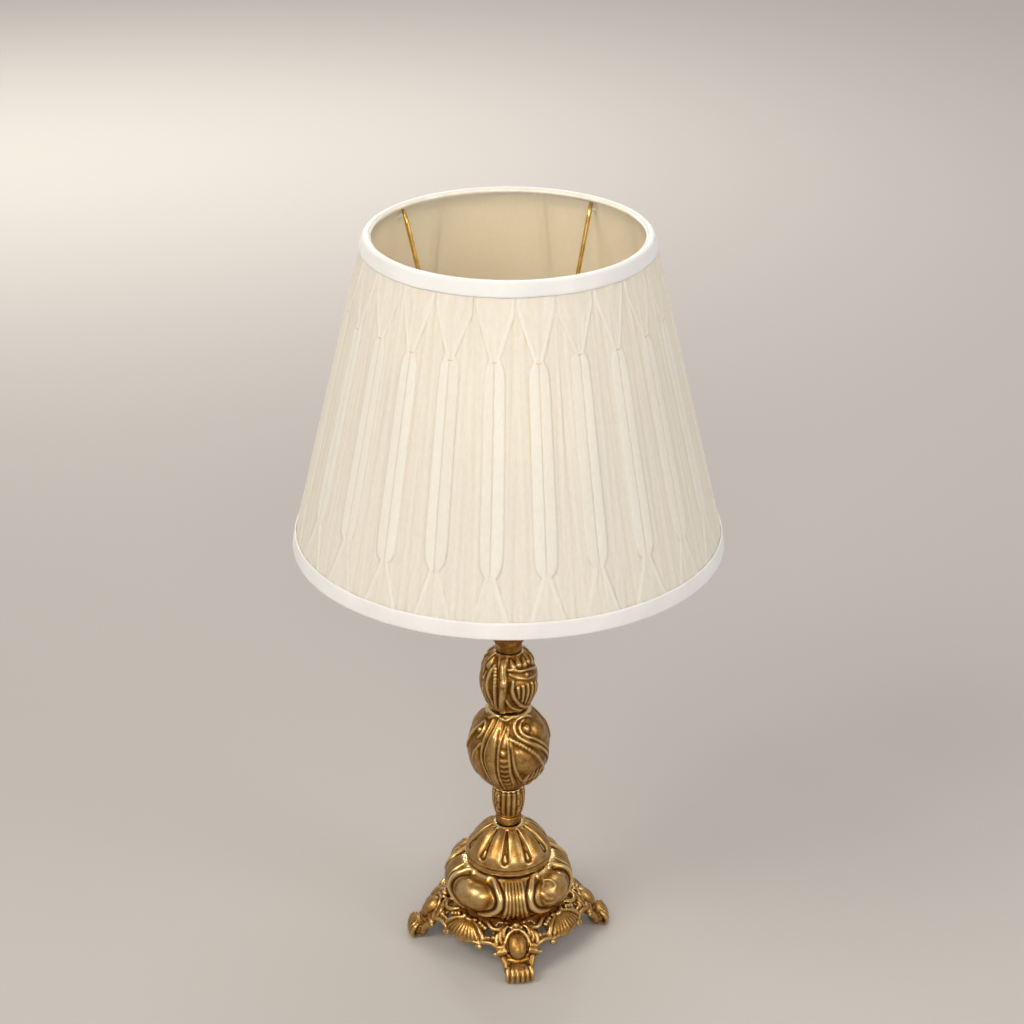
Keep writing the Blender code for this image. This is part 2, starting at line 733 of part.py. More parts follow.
# ---------------------------------------------------------------- bulb

bulb_foot_z = holder_z + INSERT_FOOT + INSERT_BASE + CONTACT_SPRING + 2 * SEAT_GAP
bulb_cap_r = SCREW_SHELL_BORE_R - BULB_THREAD_CLEARANCE


def make_bulb():
    pip = [(0.0, 0.0), (0.7 * BULB_PIP_R, 0.0), (BULB_PIP_R, BULB_PIP_HEIGHT), (0.0, BULB_PIP_HEIGHT)]
    turned("bulb_contact", "nickel", pip, foot=bulb_foot_z)
    insulator_z = bulb_foot_z + BULB_PIP_HEIGHT + SEAT_GAP
    insulator_r = 0.86 * bulb_cap_r
    cone = [(0.0, 0.0), (BULB_PIP_R + SEAT_GAP, 0.0), (insulator_r, BULB_INSULATOR_HEIGHT)]
    cone += [(0.0, BULB_INSULATOR_HEIGHT)]
    turned("bulb_insulator", "black_plastic", cone, foot=insulator_z)
    cap_z = insulator_z + BULB_INSULATOR_HEIGHT + SEAT_GAP
    outer = [(insulator_r, 0.0), (bulb_cap_r, 0.0012), (bulb_cap_r, BULB_CAP_LENGTH)]
    inner = [(insulator_r - BULB_CAP_WALL, 0.0), (bulb_cap_r - BULB_CAP_WALL, 0.0014)]
    inner += [(bulb_cap_r - BULB_CAP_WALL, BULB_CAP_LENGTH)]
    turned("bulb_cap", "nickel", outer, inner, cap_z)
    make_bulb_glass(cap_z + BULB_CAP_LENGTH + SEAT_GAP)


def make_bulb_glass(foot):
    """A pear-shaped envelope: a neck, a flowing shoulder and a round crown."""
    crown_z = BULB_GLASS_LENGTH - BULB_R
    neck_r = bulb_cap_r + BULB_NECK_STEP
    shape = [(neck_r, 0.0), (1.04 * neck_r, 0.12 * crown_z), (0.77 * BULB_R, 0.58 * crown_z)]
    shape += [(0.95 * BULB_R, 0.82 * crown_z), (BULB_R, crown_z)]
    outer = flowing(shape)
    inner = [(r - BULB_GLASS_WALL, z) for r, z in outer]
    quarter = [math.pi / 2 * step / 6 for step in range(1, 6)]
    for profile, radius in ((outer, BULB_R), (inner, BULB_R - BULB_GLASS_WALL)):
        profile += [(radius * math.cos(a), crown_z + radius * math.sin(a)) for a in quarter]
        profile.append((0.0, crown_z + radius))
    return turned("bulb_glass", "opal_glass", outer, inner, foot)


# ---------------------------------------------------------------- clamp ring and shade


def make_clamp_ring():
    chamfer = 0.0006
    bore = HOLDER_R + SEAT_GAP
    ring_r = bore + CLAMP_RING_WALL
    outer = [
        (ring_r - chamfer, 0.0),
        (ring_r, chamfer),
        (ring_r, CLAMP_RING_HEIGHT - chamfer),
        (ring_r - chamfer, CLAMP_RING_HEIGHT),
    ]
    inner = [(bore, 0.0), (bore, CLAMP_RING_HEIGHT)]
    return turned("clamp_ring", "bright_brass", outer, inner, clamp_ring_z)


def make_hub():
    outer = [(hub_r, 0.0), (hub_r, HUB_THICKNESS)]
    inner = [(hub_bore_r, 0.0), (hub_bore_r, HUB_THICKNESS)]
    return turned("shade_hub", "bright_brass", outer, inner, hub_z)


# Each layer's distance from the wires' centre line, measured along the radius.
cover_inner = RING_WIRE_R + SEAT_GAP
cover_outer = cover_inner + COVER_THICKNESS
trim_outer = cover_outer + SEAT_GAP + TRIM_THICKNESS
liner_inner = RING_WIRE_R + SEAT_GAP + LINER_THICKNESS
trim_inner = liner_inner + SEAT_GAP + TRIM_THICKNESS
flare = (SHADE_BOTTOM_R - SHADE_TOP_R) / SHADE_HEIGHT
edge_to_wire = TRIM_THICKNESS + SEAT_GAP + RING_WIRE_R
top_wire_z = shade_top_z - edge_to_wire
bottom_wire_z = shade_bottom_z + edge_to_wire


def wall_r(height):
    """Radius of the wires' centre line at a height."""
    return SHADE_TOP_R - trim_outer + flare * (shade_top_z - height)


top_wire_r = wall_r(top_wire_z)
arm_slope = (top_wire_r - hub_r) / (top_wire_z - hub_z)


def cone_shell(name, material, offset, thickness):
    """A conical cloth shell, its inner face at offset from the wires' centre line, between the rings' edges."""
    low, high = shade_bottom_z + TRIM_THICKNESS + SEAT_GAP, shade_top_z - TRIM_THICKNESS - SEAT_GAP
    inner = [(wall_r(z) + offset, z) for z in (low, high)]
    outer = [(r + thickness, z) for r, z in inner]
    return turned(name, material, outer, inner, steps=SHADE_STEPS)


def make_trim(name, edge_z, inwards):
    """A tape folded over one edge: a channel with a leg outside the cover and a short one inside the liner."""
    outer_end = edge_z + inwards * TRIM_OUTER_DEPTH
    inner_end = edge_z + inwards * TRIM_INNER_DEPTH
    fold = edge_z + inwards * TRIM_THICKNESS
    outside = [(edge_z, trim_outer), (outer_end, trim_outer)]
    inside = [(edge_z, -trim_inner), (inner_end, -trim_inner)]
    inside += [(inner_end, TRIM_THICKNESS - trim_inner), (fold, TRIM_THICKNESS - trim_inner)]
    inside += [(fold, trim_outer - TRIM_THICKNESS), (outer_end, trim_outer - TRIM_THICKNESS)]
    sections = [[(wall_r(z) + offset, z) for z, offset in side] for side in (outside, inside)]
    if inwards < 0:
        sections = [list(reversed(side)) for side in sections]
    return turned(name, "trim_tape", *sections, steps=SHADE_STEPS)


def make_ring(name, radius, height):
    bpy.ops.mesh.primitive_torus_add(
        major_segments=SHADE_STEPS, minor_segments=6, major_radius=radius, minor_radius=RING_WIRE_R
    )
    ring = adopt(name, "painted_wire")
    ring.location.z = height
    return ring


def make_rib(index, angle):
    clear = RING_WIRE_R + SEAT_GAP
    low, high = bottom_wire_z + clear, top_wire_z - clear
    start, end = polar(wall_r(low), angle, low), polar(wall_r(high), angle, high)
    return wire(f"shade_rib_{index}", "painted_wire", start, end, RIB_WIRE_R)


def arm_ends():
    """(radius, height) of an arm's two ends: just under the top ring, and beside the hub."""
    clear = RING_WIRE_R + 2 * SEAT_GAP
    high = (top_wire_r - arm_slope * clear, top_wire_z - clear)
    low = (hub_r + SEAT_GAP + ARM_WIRE_R * 1.15, hub_z + HUB_THICKNESS / 2)
    return low, high


def make_arm(index, angle):
    (low_r, low_z), (high_r, high_z) = arm_ends()
    start, end = polar(low_r, angle, low_z), polar(high_r, angle, high_z)
    return wire(f"shade_arm_{index}", "bright_brass", start, end, ARM_WIRE_R)


def cut_arm_notches(*pieces):
    """Slots in the liner and in the trim's inner leg, where each arm comes through."""
    depth = (trim_inner + ARM_WIRE_R + 2 * SEAT_GAP) / (arm_slope + flare)
    inner_end, outer_end = top_wire_r - 2 * trim_inner, top_wire_r + RING_WIRE_R
    size = (outer_end - inner_end, 2 * (ARM_WIRE_R + NOTCH_CLEARANCE), depth)
    for piece in pieces:
        for index, angle in enumerate(spread(ARMS, math.pi / ARMS)):
            notch = box(f"{piece.name}_notch_{index}", "liner_cloth", size)
            notch.location = polar((inner_end + outer_end) / 2, angle, top_wire_z - depth / 2)
            notch.rotation_euler.z = angle
            boolean(piece, notch)


def make_shade():
    make_hub()
    make_ring("shade_top_ring", top_wire_r, top_wire_z)
    make_ring("shade_bottom_ring", wall_r(bottom_wire_z), bottom_wire_z)
    for index, angle in enumerate(spread(RIBS, math.pi / RIBS)):
        make_rib(index, angle)
    for index, angle in enumerate(spread(ARMS, math.pi / ARMS)):
        make_arm(index, angle)
    cone_shell("shade_cover", "pleated_cloth", cover_inner, COVER_THICKNESS)
    liner = cone_shell("shade_liner", "liner_cloth", -liner_inner, LINER_THICKNESS)
    top_trim = make_trim("top_trim", shade_top_z, -1)
    make_trim("bottom_trim", shade_bottom_z, 1)
    cut_arm_notches(liner, top_trim)


# ---------------------------------------------------------------- the lamp

clear_scene()
lamp = make_collection("table_lamp")
cutters = make_collection("cutters")
finishes = make_materials()

make_foot_casting()
make_drum()
make_dome()
make_collar()
make_stem()
make_ball()
make_vase()
make_cup()
make_sleeve()

make_tube()
make_clamp_plate()
make_nut("base_nut", clamp_plate_z - SEAT_GAP - NUT_HEIGHT)
make_nut("holder_nut", holder_z + HOLDER_FLOOR + SEAT_GAP)
make_bush("lower_bush", tube_foot_z - SEAT_GAP, False)
make_bush("upper_bush", tube_top_z + SEAT_GAP, True)

make_holder_cap()
make_holder_barrel()
make_holder_insert()
make_screw_shell()
make_centre_contact()
for number, place in enumerate(spread(TERMINALS, math.pi / 2)):
    make_terminal(number, place)
make_key_switch()
make_bulb()
make_clamp_ring()
make_shade()
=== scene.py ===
"""Table lamp with a smocked empire shade on a cast rococo stand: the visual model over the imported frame.

Everything is in metres in the frame's own axes. Angles called bearings are in degrees round the lamp, 0 at
the front foot and growing towards +X, so that the ornament can be laid out the way a chaser would mark it.
"""

from __future__ import annotations

import logging
import math
from collections.abc import Callable, Sequence
from dataclasses import dataclass, field
from enum import Enum

import bmesh
import bpy
import numpy as np
from mathutils import Matrix, Vector, noise


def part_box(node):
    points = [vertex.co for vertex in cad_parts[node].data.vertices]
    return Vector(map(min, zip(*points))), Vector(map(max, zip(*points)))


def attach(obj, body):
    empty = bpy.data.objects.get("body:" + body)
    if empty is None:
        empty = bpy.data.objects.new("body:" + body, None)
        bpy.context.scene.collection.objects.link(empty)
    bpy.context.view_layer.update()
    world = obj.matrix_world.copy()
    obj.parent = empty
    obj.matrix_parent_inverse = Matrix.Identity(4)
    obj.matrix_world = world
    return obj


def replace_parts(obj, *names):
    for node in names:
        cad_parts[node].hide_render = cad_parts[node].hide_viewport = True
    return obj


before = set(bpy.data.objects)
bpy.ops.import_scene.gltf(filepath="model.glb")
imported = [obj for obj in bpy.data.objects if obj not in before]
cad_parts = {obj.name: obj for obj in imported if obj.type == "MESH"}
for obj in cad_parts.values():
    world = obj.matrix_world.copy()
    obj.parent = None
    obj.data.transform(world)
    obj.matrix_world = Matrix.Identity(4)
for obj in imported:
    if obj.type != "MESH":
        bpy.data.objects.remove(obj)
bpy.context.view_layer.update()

log = logging.getLogger("lamp")

MM = 0.001
QUARTER = 90.0  # the stand repeats itself over each foot, in degrees
HALF_TURN = 180.0  # and the knops repeat themselves at the back
JOINT = 0.26  # how far a casting reaches down over the one below, in millimetres
BORE = 5.4  # radius of the hole for the threaded tube, in millimetres
WELD = 0.002 * MM  # points closer than this are one point
FEET = 4

Point = tuple[float, float]
Path = tuple[Point, ...]
Width = float | tuple[float, ...]
Array = np.ndarray


# ---------------------------------------------------------------- small helpers


def linear(code: str) -> tuple[float, float, float, float]:
    """Turns an sRGB hex colour into linear red, green, blue and alpha.

    Args:
        code: six hex digits after a hash sign.

    Returns:
        The colour as the renderer's shaders take it.
    """
    channels = [int(code[i : i + 2], 16) / 255 for i in (1, 3, 5)]
    low_end = 0.04045  # below it the sRGB curve is a straight line
    turned = [c / 12.92 if c <= low_end else ((c + 0.055) / 1.055) ** 2.4 for c in channels]
    return (turned[0], turned[1], turned[2], 1.0)


def polar(radius: float, bearing: float, height: float) -> Vector:
    """The point at a radius, a bearing in degrees and a height, all in millimetres, in metres."""
    turn = math.radians(bearing)
    return Vector((radius * math.sin(turn), -radius * math.cos(turn), height)) * MM


def flowing(points: Sequence[Sequence[float]], per_span: int = 8) -> list[tuple[float, ...]]:
    """Points on a smooth curve through the given ones.

    Args:
        points: the points to pass through, each with any number of values.
        per_span: how many points to make between each pair.

    Returns:
        The finer list, its two ends kept.
    """
    rows = np.array([points[0], *points, points[-1]], float)
    made: list[tuple[float, ...]] = []
    for before, start, end, after in zip(rows, rows[1:], rows[2:], rows[3:]):
        for step in range(per_span):
            t = step / per_span
            value = 2 * start + (end - before) * t
            value = value + (2 * before - 5 * start + 4 * end - after) * t**2
            value = value + (3 * start - before - 3 * end + after) * t**3
            made.append(tuple(0.5 * value))
    made.append(tuple(rows[-1]))
    return made


def evenly(points: Sequence[Point], spacing: float) -> list[Point]:
    """The same line with its points at an even spacing.

    Args:
        points: the line, in millimetres.
        spacing: the distance wanted between points, in millimetres.

    Returns:
        The line's points, its two ends kept.
    """
    line = np.array(points, float)
    run = np.concatenate([[0.0], np.cumsum(np.linalg.norm(np.diff(line, axis=0), axis=1))])
    at = np.linspace(0.0, run[-1], max(2, round(run[-1] / spacing) + 1))
    return [
        (float(r), float(z)) for r, z in zip(np.interp(at, run, line[:, 0]), np.interp(at, run, line[:, 1]))
    ]


def rough(point: Vector, size: float, seed: float = 0.0) -> float:
    """Smooth random value from -1 to 1 at a point, its lumps about size millimetres across."""
    return float(noise.noise(point / (size * MM) + Vector((seed, seed * 1.7, -seed))))


def meshed(name: str, shape: bmesh.types.BMesh) -> bpy.types.Mesh:
    """The shape as a mesh. The shape is freed."""
    mesh = bpy.data.meshes.new(name)
    shape.to_mesh(mesh)
    shape.free()
    return mesh


def extent(name: str) -> tuple[float, float, float]:
    """A CAD node's foot, its top and how far it reaches along X, in millimetres."""
    low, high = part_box(name)
    return low.z / MM, high.z / MM, high.x / MM


def off_nearest(bearing: float, first: float, count: int) -> float:
    """How far a bearing lies from the nearest of some evenly spaced ones, in degrees.

    Args:
        bearing: the bearing.
        first: one of the evenly spaced bearings.
        count: how many there are.

    Returns:
        The angle between them, never negative.
    """
    off = (bearing - first) % (360 / count)
    return min(off, 360 / count - off)


def bearing_of(place: Vector) -> float:
    """The place's bearing, in degrees."""
    return math.degrees(math.atan2(place.x, -place.y))


def pushed(corner: bmesh.types.BMVert, radius: float, turn: float) -> None:
    """Sets a point's radius in millimetres and its bearing in radians, and leaves its height."""
    corner.co.x, corner.co.y = radius * MM * math.sin(turn), -radius * MM * math.cos(turn)


def finished(name: str, shape: bmesh.types.BMesh, body: str, finish: "Finish") -> bpy.types.Object:
    """Makes a piece of a finished shape and lets it ride on a body.

    Args:
        name: the piece's name.
        shape: its mesh, which is freed.
        body: the body that it rides on.
        finish: what it is made of.

    Returns:
        The new piece.
    """
    return dressed(name, meshed(name, shape), body, finish)


def dressed(name: str, mesh: bpy.types.Mesh, body: str, finish: "Finish") -> bpy.types.Object:
    """Makes a piece of a mesh, gives it its material, and lets it ride on a body."""
    mesh.materials.clear()
    mesh.materials.append(finish.material())
    mesh.shade_smooth()
    piece = bpy.data.objects.new(name, mesh)
    bpy.context.scene.collection.objects.link(piece)
    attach(piece, body)
    log.info("%s on %s: %d faces", name, body, len(mesh.polygons))
    return piece


def turned(loop: Sequence[Point], steps: int, closed: bool = True) -> bmesh.types.BMesh:
    """Turns an outline round the lamp's axis.

    Args:
        loop: (radius, height) in millimetres, in order.
        steps: how many facets go round.
        closed: whether the outline's last point joins its first.

    Returns:
        The turned mesh, its seam and its poles closed.
    """
    shape = bmesh.new()
    corners = [shape.verts.new((0.0, -r * MM, z * MM)) for r, z in loop]
    pairs = list(zip(corners, corners[1:] + ([corners[0]] if closed else [])))
    edges = [shape.edges.new(pair) for pair in pairs]
    bmesh.ops.spin(
        shape,
        geom=corners + edges,
        cent=(0, 0, 0),
        axis=(0, 0, 1),
        dvec=(0, 0, 0),
        angle=2 * math.pi,
        steps=steps,
        use_merge=True,
    )
    bmesh.ops.remove_doubles(shape, verts=shape.verts, dist=WELD)
    if closed or any(r == 0 for r, _ in loop):
        bmesh.ops.recalc_face_normals(shape, faces=shape.faces)
    return shape


def thickened(shape: bmesh.types.BMesh, thickness: float) -> None:
    """Gives an open wall round the lamp's axis a thickness, outwards, in millimetres."""
    made = bmesh.ops.extrude_face_region(shape, geom=shape.faces[:], use_keep_orig=True)
    for corner in (item for item in made["geom"] if isinstance(item, bmesh.types.BMVert)):
        corner.co.xy *= 1 + thickness * MM / corner.co.xy.length
    bmesh.ops.recalc_face_normals(shape, faces=shape.faces)


def swept(path: Sequence[Sequence[float]], radii: Sequence[float], sides: int = 12) -> bpy.types.Mesh:
    """A round bar along a path.

    Args:
        path: its centre line, in metres.
        radii: its radius at each point, in metres.
        sides: how many faces go round it.

    Returns:
        The bar's mesh, with closed ends.
    """
    curve = bpy.data.curves.new("bar", "CURVE")
    curve.dimensions = "3D"
    curve.bevel_depth = 1.0
    curve.bevel_resolution = max(0, sides // 2 - 2)
    curve.use_fill_caps = True
    line = curve.splines.new("POLY")
    line.points.add(len(path) - 1)
    for corner, place, radius in zip(line.points, path, radii):
        corner.co = (*place, 1.0)
        corner.radius = radius
    holder = bpy.data.objects.new("bar", curve)
    bpy.context.scene.collection.objects.link(holder)
    graph = bpy.context.evaluated_depsgraph_get()
    mesh = bpy.data.meshes.new_from_object(holder.evaluated_get(graph))
    bpy.data.objects.remove(holder)
    bpy.data.curves.remove(curve)
    shape = bmesh.new()
    shape.from_mesh(mesh)
    bmesh.ops.remove_doubles(shape, verts=shape.verts, dist=WELD)
    shape.to_mesh(mesh)
    shape.free()
    return mesh


def places(mesh: bpy.types.Mesh) -> Array:
    """The mesh's points, one row each, in metres."""
    co = np.empty(len(mesh.vertices) * 3, np.float32)
    mesh.vertices.foreach_get("co", co)
    return co.reshape(-1, 3).astype(float)


def put(mesh: bpy.types.Mesh, co: Array) -> None:
    """Moves the mesh's points to the given places."""
    mesh.vertices.foreach_set("co", co.astype(np.float32).ravel())
    mesh.update()


def store(mesh: bpy.types.Mesh, name: str, values: Array) -> None:
    """Keeps one number for each point, for a material to read."""
    layer = mesh.attributes.get(name) or mesh.attributes.new(name, "FLOAT", "POINT")
    layer.data.foreach_set("value", values.astype(np.float32))


def shade_hollows(
    mesh: bpy.types.Mesh, reach: Sequence[tuple[int, float]] = ((3, 0.10), (14, 0.32), (50, 0.8))
) -> None:
    """Marks how far each point stands proud: 0 in a hollow, 0.5 on the flat and 1 on an edge.

    Args:
        mesh: a dense mesh.
        reach: pairs of smoothing passes and the rise in millimetres that is fully proud at that scale.
    """
    co = places(mesh)
    count = len(co)
    normals = np.empty(count * 3, np.float32)
    mesh.vertices.foreach_get("normal", normals)
    normals = normals.reshape(-1, 3)
    ends = np.empty(len(mesh.edges) * 2, np.int32)
    mesh.edges.foreach_get("vertices", ends)
    one, other = ends[0::2], ends[1::2]
    degree = np.maximum(np.bincount(one, minlength=count) + np.bincount(other, minlength=count), 1)
    soft, done, rise = co.copy(), 0, np.zeros(count)
    for passes, scale in reach:
        for _ in range(passes - done):
            total = np.stack(
                [
                    np.bincount(one, soft[other, k], count) + np.bincount(other, soft[one, k], count)
                    for k in range(3)
                ],
                axis=1,
            )
            soft = 0.5 * soft + 0.5 * total / degree[:, None]
        done = passes
        rise += np.einsum("ij,ij->i", co - soft, normals) / (scale * MM)
    # The brass material turns low values into painted shade and high values into a painted highlight, over
    # real patina and wear.
    store(mesh, "proud", 0.5 + 0.5 * np.tanh(rise / len(reach)))


# ---------------------------------------------------------------- finishes


class Slot(Enum):
    """The record's material slots."""

    ANTIQUE = "antique_brass"
    BRIGHT = "bright_brass"
    STEEL = "steel"
    NICKEL = "nickel"
    CERAMIC = "ceramic"
    BLACK = "black_plastic"
    OPAL = "opal_glass"
    WIRE = "painted_wire"
    PLEATS = "pleated_cloth"
    LINER = "liner_cloth"
    TRIM = "trim_tape"


def add_node(
    tree: bpy.types.NodeTree, kind: str, inputs: dict | None = None, **settings: object
) -> bpy.types.Node:
    """Adds a node.

    Args:
        tree: the node tree it goes in.
        kind: the node's type name.
        inputs: values or output sockets, by input name or number.
        settings: properties of the node.

    Returns:
        The node.
    """
    node = tree.nodes.new(kind)
    for name, value in settings.items():
        setattr(node, name, value)
    for key, value in (inputs or {}).items():
        if isinstance(value, bpy.types.NodeSocket):
            tree.links.new(value, node.inputs[key])
        else:
            node.inputs[key].default_value = value
    return node


def ramp(
    tree: bpy.types.NodeTree, factor: bpy.types.NodeSocket, stops: Sequence[tuple[float, str]]
) -> bpy.types.NodeSocket:
    """A colour ramp.

    Args:
        tree: the node tree it goes in.
        factor: the socket that it reads.
        stops: positions and hex colours, lowest first.

    Returns:
        Its colour socket.
    """
    node = add_node(tree, "ShaderNodeValToRGB", {"Fac": factor})
    bar = node.color_ramp.elements
    while len(bar) < len(stops):
        bar.new(0.5)
    for element, (position, colour) in zip(bar, stops):
        element.position = position
        element.color = linear(colour)
    return node.outputs["Color"]


@dataclass(frozen=True)
class Finish:
    """What a piece is made of, and how its surface was made."""

    name: str
    slot: Slot

    def material(self) -> bpy.types.Material:
        """The finish's material, made the first time it is asked for."""
        made = bpy.data.materials.get(self.name)
        if made is None:
            made = bpy.data.materials.new(self.name)
            made.use_nodes = True
            tree = made.node_tree
            tree.nodes.clear()
            out = tree.nodes.new("ShaderNodeOutputMaterial")
            tree.links.new(self.shader(tree), out.inputs["Surface"])
        return made

    def shader(self, tree: bpy.types.NodeTree) -> bpy.types.NodeSocket:
        """Builds the finish's nodes and returns the shader socket."""
        raise NotImplementedError

    def grain(
        self,
        tree: bpy.types.NodeTree,
        size: float,
        stretch: Sequence[float] = (1, 1, 1),
        detail: float = 3.0,
    ) -> bpy.types.NodeSocket:
        """Noise fixed to the object.

        Args:
            tree: the node tree it goes in.
            size: how far across its lumps are, in millimetres.
            stretch: how much longer they are along X, Y and Z.
            detail: how many finer layers it has.

        Returns:
            Its value, about 0.5 on average.
        """
        where = add_node(tree, "ShaderNodeTexCoord").outputs["Object"]
        scale = [1.0 / s for s in stretch]
        mapped = add_node(tree, "ShaderNodeMapping", {"Vector": where, "Scale": scale}).outputs["Vector"]
        return add_node(
            tree, "ShaderNodeTexNoise", {"Vector": mapped, "Scale": 1 / (size * MM), "Detail": detail}
        ).outputs["Fac"]

    def bump(
        self, tree: bpy.types.NodeTree, height: bpy.types.NodeSocket, depth: float, strength: float = 1.0
    ) -> bpy.types.NodeSocket:
        """A bump of the given depth in millimetres, as a normal socket."""
        inputs = {"Height": height, "Distance": depth * MM, "Strength": strength}
        return add_node(tree, "ShaderNodeBump", inputs).outputs["Normal"]


@dataclass(frozen=True)
class AgedBrass(Finish):
    """Cast brass, gilded, then rubbed back: bright on the raised edges, brown patina left in the hollows.
    The hollows are further darkened by painted shade and the raised edges lightened by a painted highlight.
    """

    # hollow and deep: brown patina deepened by painted shade; edge: rubbed gilt lightened by a painted
    # highlight
    hollow: str = "#2A1506"
    deep: str = "#5A3911"
    flat: str = "#9A6E33"
    edge: str = "#E3C58C"
    reads_relief: bool = True

    def shader(self, tree: bpy.types.NodeTree) -> bpy.types.NodeSocket:
        """Colour and roughness follow the relief, with blotches of old lacquer and a faint cast skin. The
        hollows' dark colour is partly painted shade and the edges' pale colour partly a painted highlight.
        """
        blotch = self.grain(tree, 9.0, detail=4.0)
        speck = self.grain(tree, 0.9, detail=2.0)
        if self.reads_relief:
            proud = add_node(tree, "ShaderNodeAttribute", attribute_name="proud").outputs["Fac"]
        else:
            proud = add_node(
                tree, "ShaderNodeMath", {0: blotch, 1: 0.5}, operation="MULTIPLY_ADD"
            ).outputs[0]
            proud.node.inputs[2].default_value = 0.27
        # Old lacquer is thicker in places, so the same edge is rubbed through here and not there.
        shift = add_node(
            tree, "ShaderNodeMapRange",
            {"Value": blotch, "From Min": 0.3, "From Max": 0.7, "To Min": -0.07, "To Max": 0.07},
        )
        wear_and_painted_light = add_node(tree, "ShaderNodeMath", {0: proud, 1: shift.outputs[0]}, operation="ADD").outputs[0]
        fleck = add_node(
            tree, "ShaderNodeMapRange",
            {"Value": speck, "From Min": 0.35, "From Max": 0.65, "To Min": -0.05, "To Max": 0.05},
        )
        wear_and_painted_light = add_node(tree, "ShaderNodeMath", {0: wear_and_painted_light, 1: fleck.outputs[0]}, operation="ADD").outputs[0]
        # The ramp paints shade into the hollows and a highlight onto the raised edges, over the real patina
        # and rubbed gilt.
        colour = ramp(
            tree, wear_and_painted_light, ((0.06, self.hollow), (0.30, self.deep), (0.52, self.flat), (0.86, self.edge))
        )
        dull = add_node(
            tree, "ShaderNodeMapRange",
            {"Value": wear_and_painted_light, "From Min": 0.2, "From Max": 0.7, "To Min": 0.50, "To Max": 0.29},
        )
        metal = add_node(
            tree, "ShaderNodeMapRange",
            {"Value": wear_and_painted_light, "From Min": 0.1, "From Max": 0.3, "To Min": 0.6, "To Max": 1.0},
        )
        skin = self.bump(tree, speck, 0.05, 0.5)
        inputs = {
            "Base Color": colour,
            "Roughness": dull.outputs[0],
            "Metallic": metal.outputs[0],
            "Normal": skin,
        }
        return add_node(tree, "ShaderNodeBsdfPrincipled", inputs).outputs["BSDF"]


@dataclass(frozen=True)
class TurnedMetal(Finish):
    """Metal finished on a lathe or drawn through a die, so that fine lines run one way."""

    colour: str = "#D9AE5F"
    tint: str = "#B98A3E"
    roughness: float = 0.2
    lines: tuple[float, float, float] = (40.0, 40.0, 1.0)

    def shader(self, tree: bpy.types.NodeTree) -> bpy.types.NodeSocket:
        """Fine tool lines in the bump, finger-dulled patches in the roughness."""
        patch = self.grain(tree, 7.0)
        tool = self.grain(tree, 0.25, self.lines, 1.0)
        colour = ramp(tree, patch, ((0.3, self.tint), (0.62, self.colour)))
        spread = {"Value": patch, "To Min": self.roughness * 0.7, "To Max": self.roughness * 1.6}
        dull = add_node(tree, "ShaderNodeMapRange", spread)
        inputs = {
            "Base Color": colour,
            "Roughness": dull.outputs[0],
            "Metallic": 1.0,
            "Normal": self.bump(tree, tool, 0.03, 0.35),
        }
        return add_node(tree, "ShaderNodeBsdfPrincipled", inputs).outputs["BSDF"]


@dataclass(frozen=True)
class Moulded(Finish):
    """A moulded, fired or painted surface with a soft orange-peel skin."""

    colour: str = "#E8E2D4"
    tint: str = "#D8CFBB"
    roughness: float = 0.35
    skin: float = 0.04
    lumps: float = 1.6
    coat: float = 0.0

    def shader(self, tree: bpy.types.NodeTree) -> bpy.types.NodeSocket:
        """Two close colours in soft patches, over an uneven skin."""
        patch = self.grain(tree, 11.0)
        peel = self.grain(tree, self.lumps, detail=2.0)
        inputs = {
            "Base Color": ramp(tree, patch, ((0.32, self.tint), (0.66, self.colour))),
            "Roughness": self.roughness,
            "Coat Weight": self.coat,
            "Normal": self.bump(tree, peel, self.skin, 0.6),
        }
        return add_node(tree, "ShaderNodeBsdfPrincipled", inputs).outputs["BSDF"]


@dataclass(frozen=True)
class OpalGlass(Finish):
    """Milk glass, blown and fire-polished: light goes in and scatters under a glossy skin."""

    def shader(self, tree: bpy.types.NodeTree) -> bpy.types.NodeSocket:
        """A white scattering body with a sharp gloss and faint density streaks."""
        cloud = self.grain(tree, 14.0, (1, 1, 3))
        inputs = {
            "Base Color": ramp(tree, cloud, ((0.3, "#E9E4D8"), (0.7, "#F6F3EA"))),
            "Roughness": 0.16,
            "Subsurface Weight": 0.35,
            "Subsurface Radius": (0.004, 0.004, 0.003),
            "Subsurface Scale": 1.0,
            "Coat Weight": 0.4,
        }
        return add_node(tree, "ShaderNodeBsdfPrincipled", inputs).outputs["BSDF"]


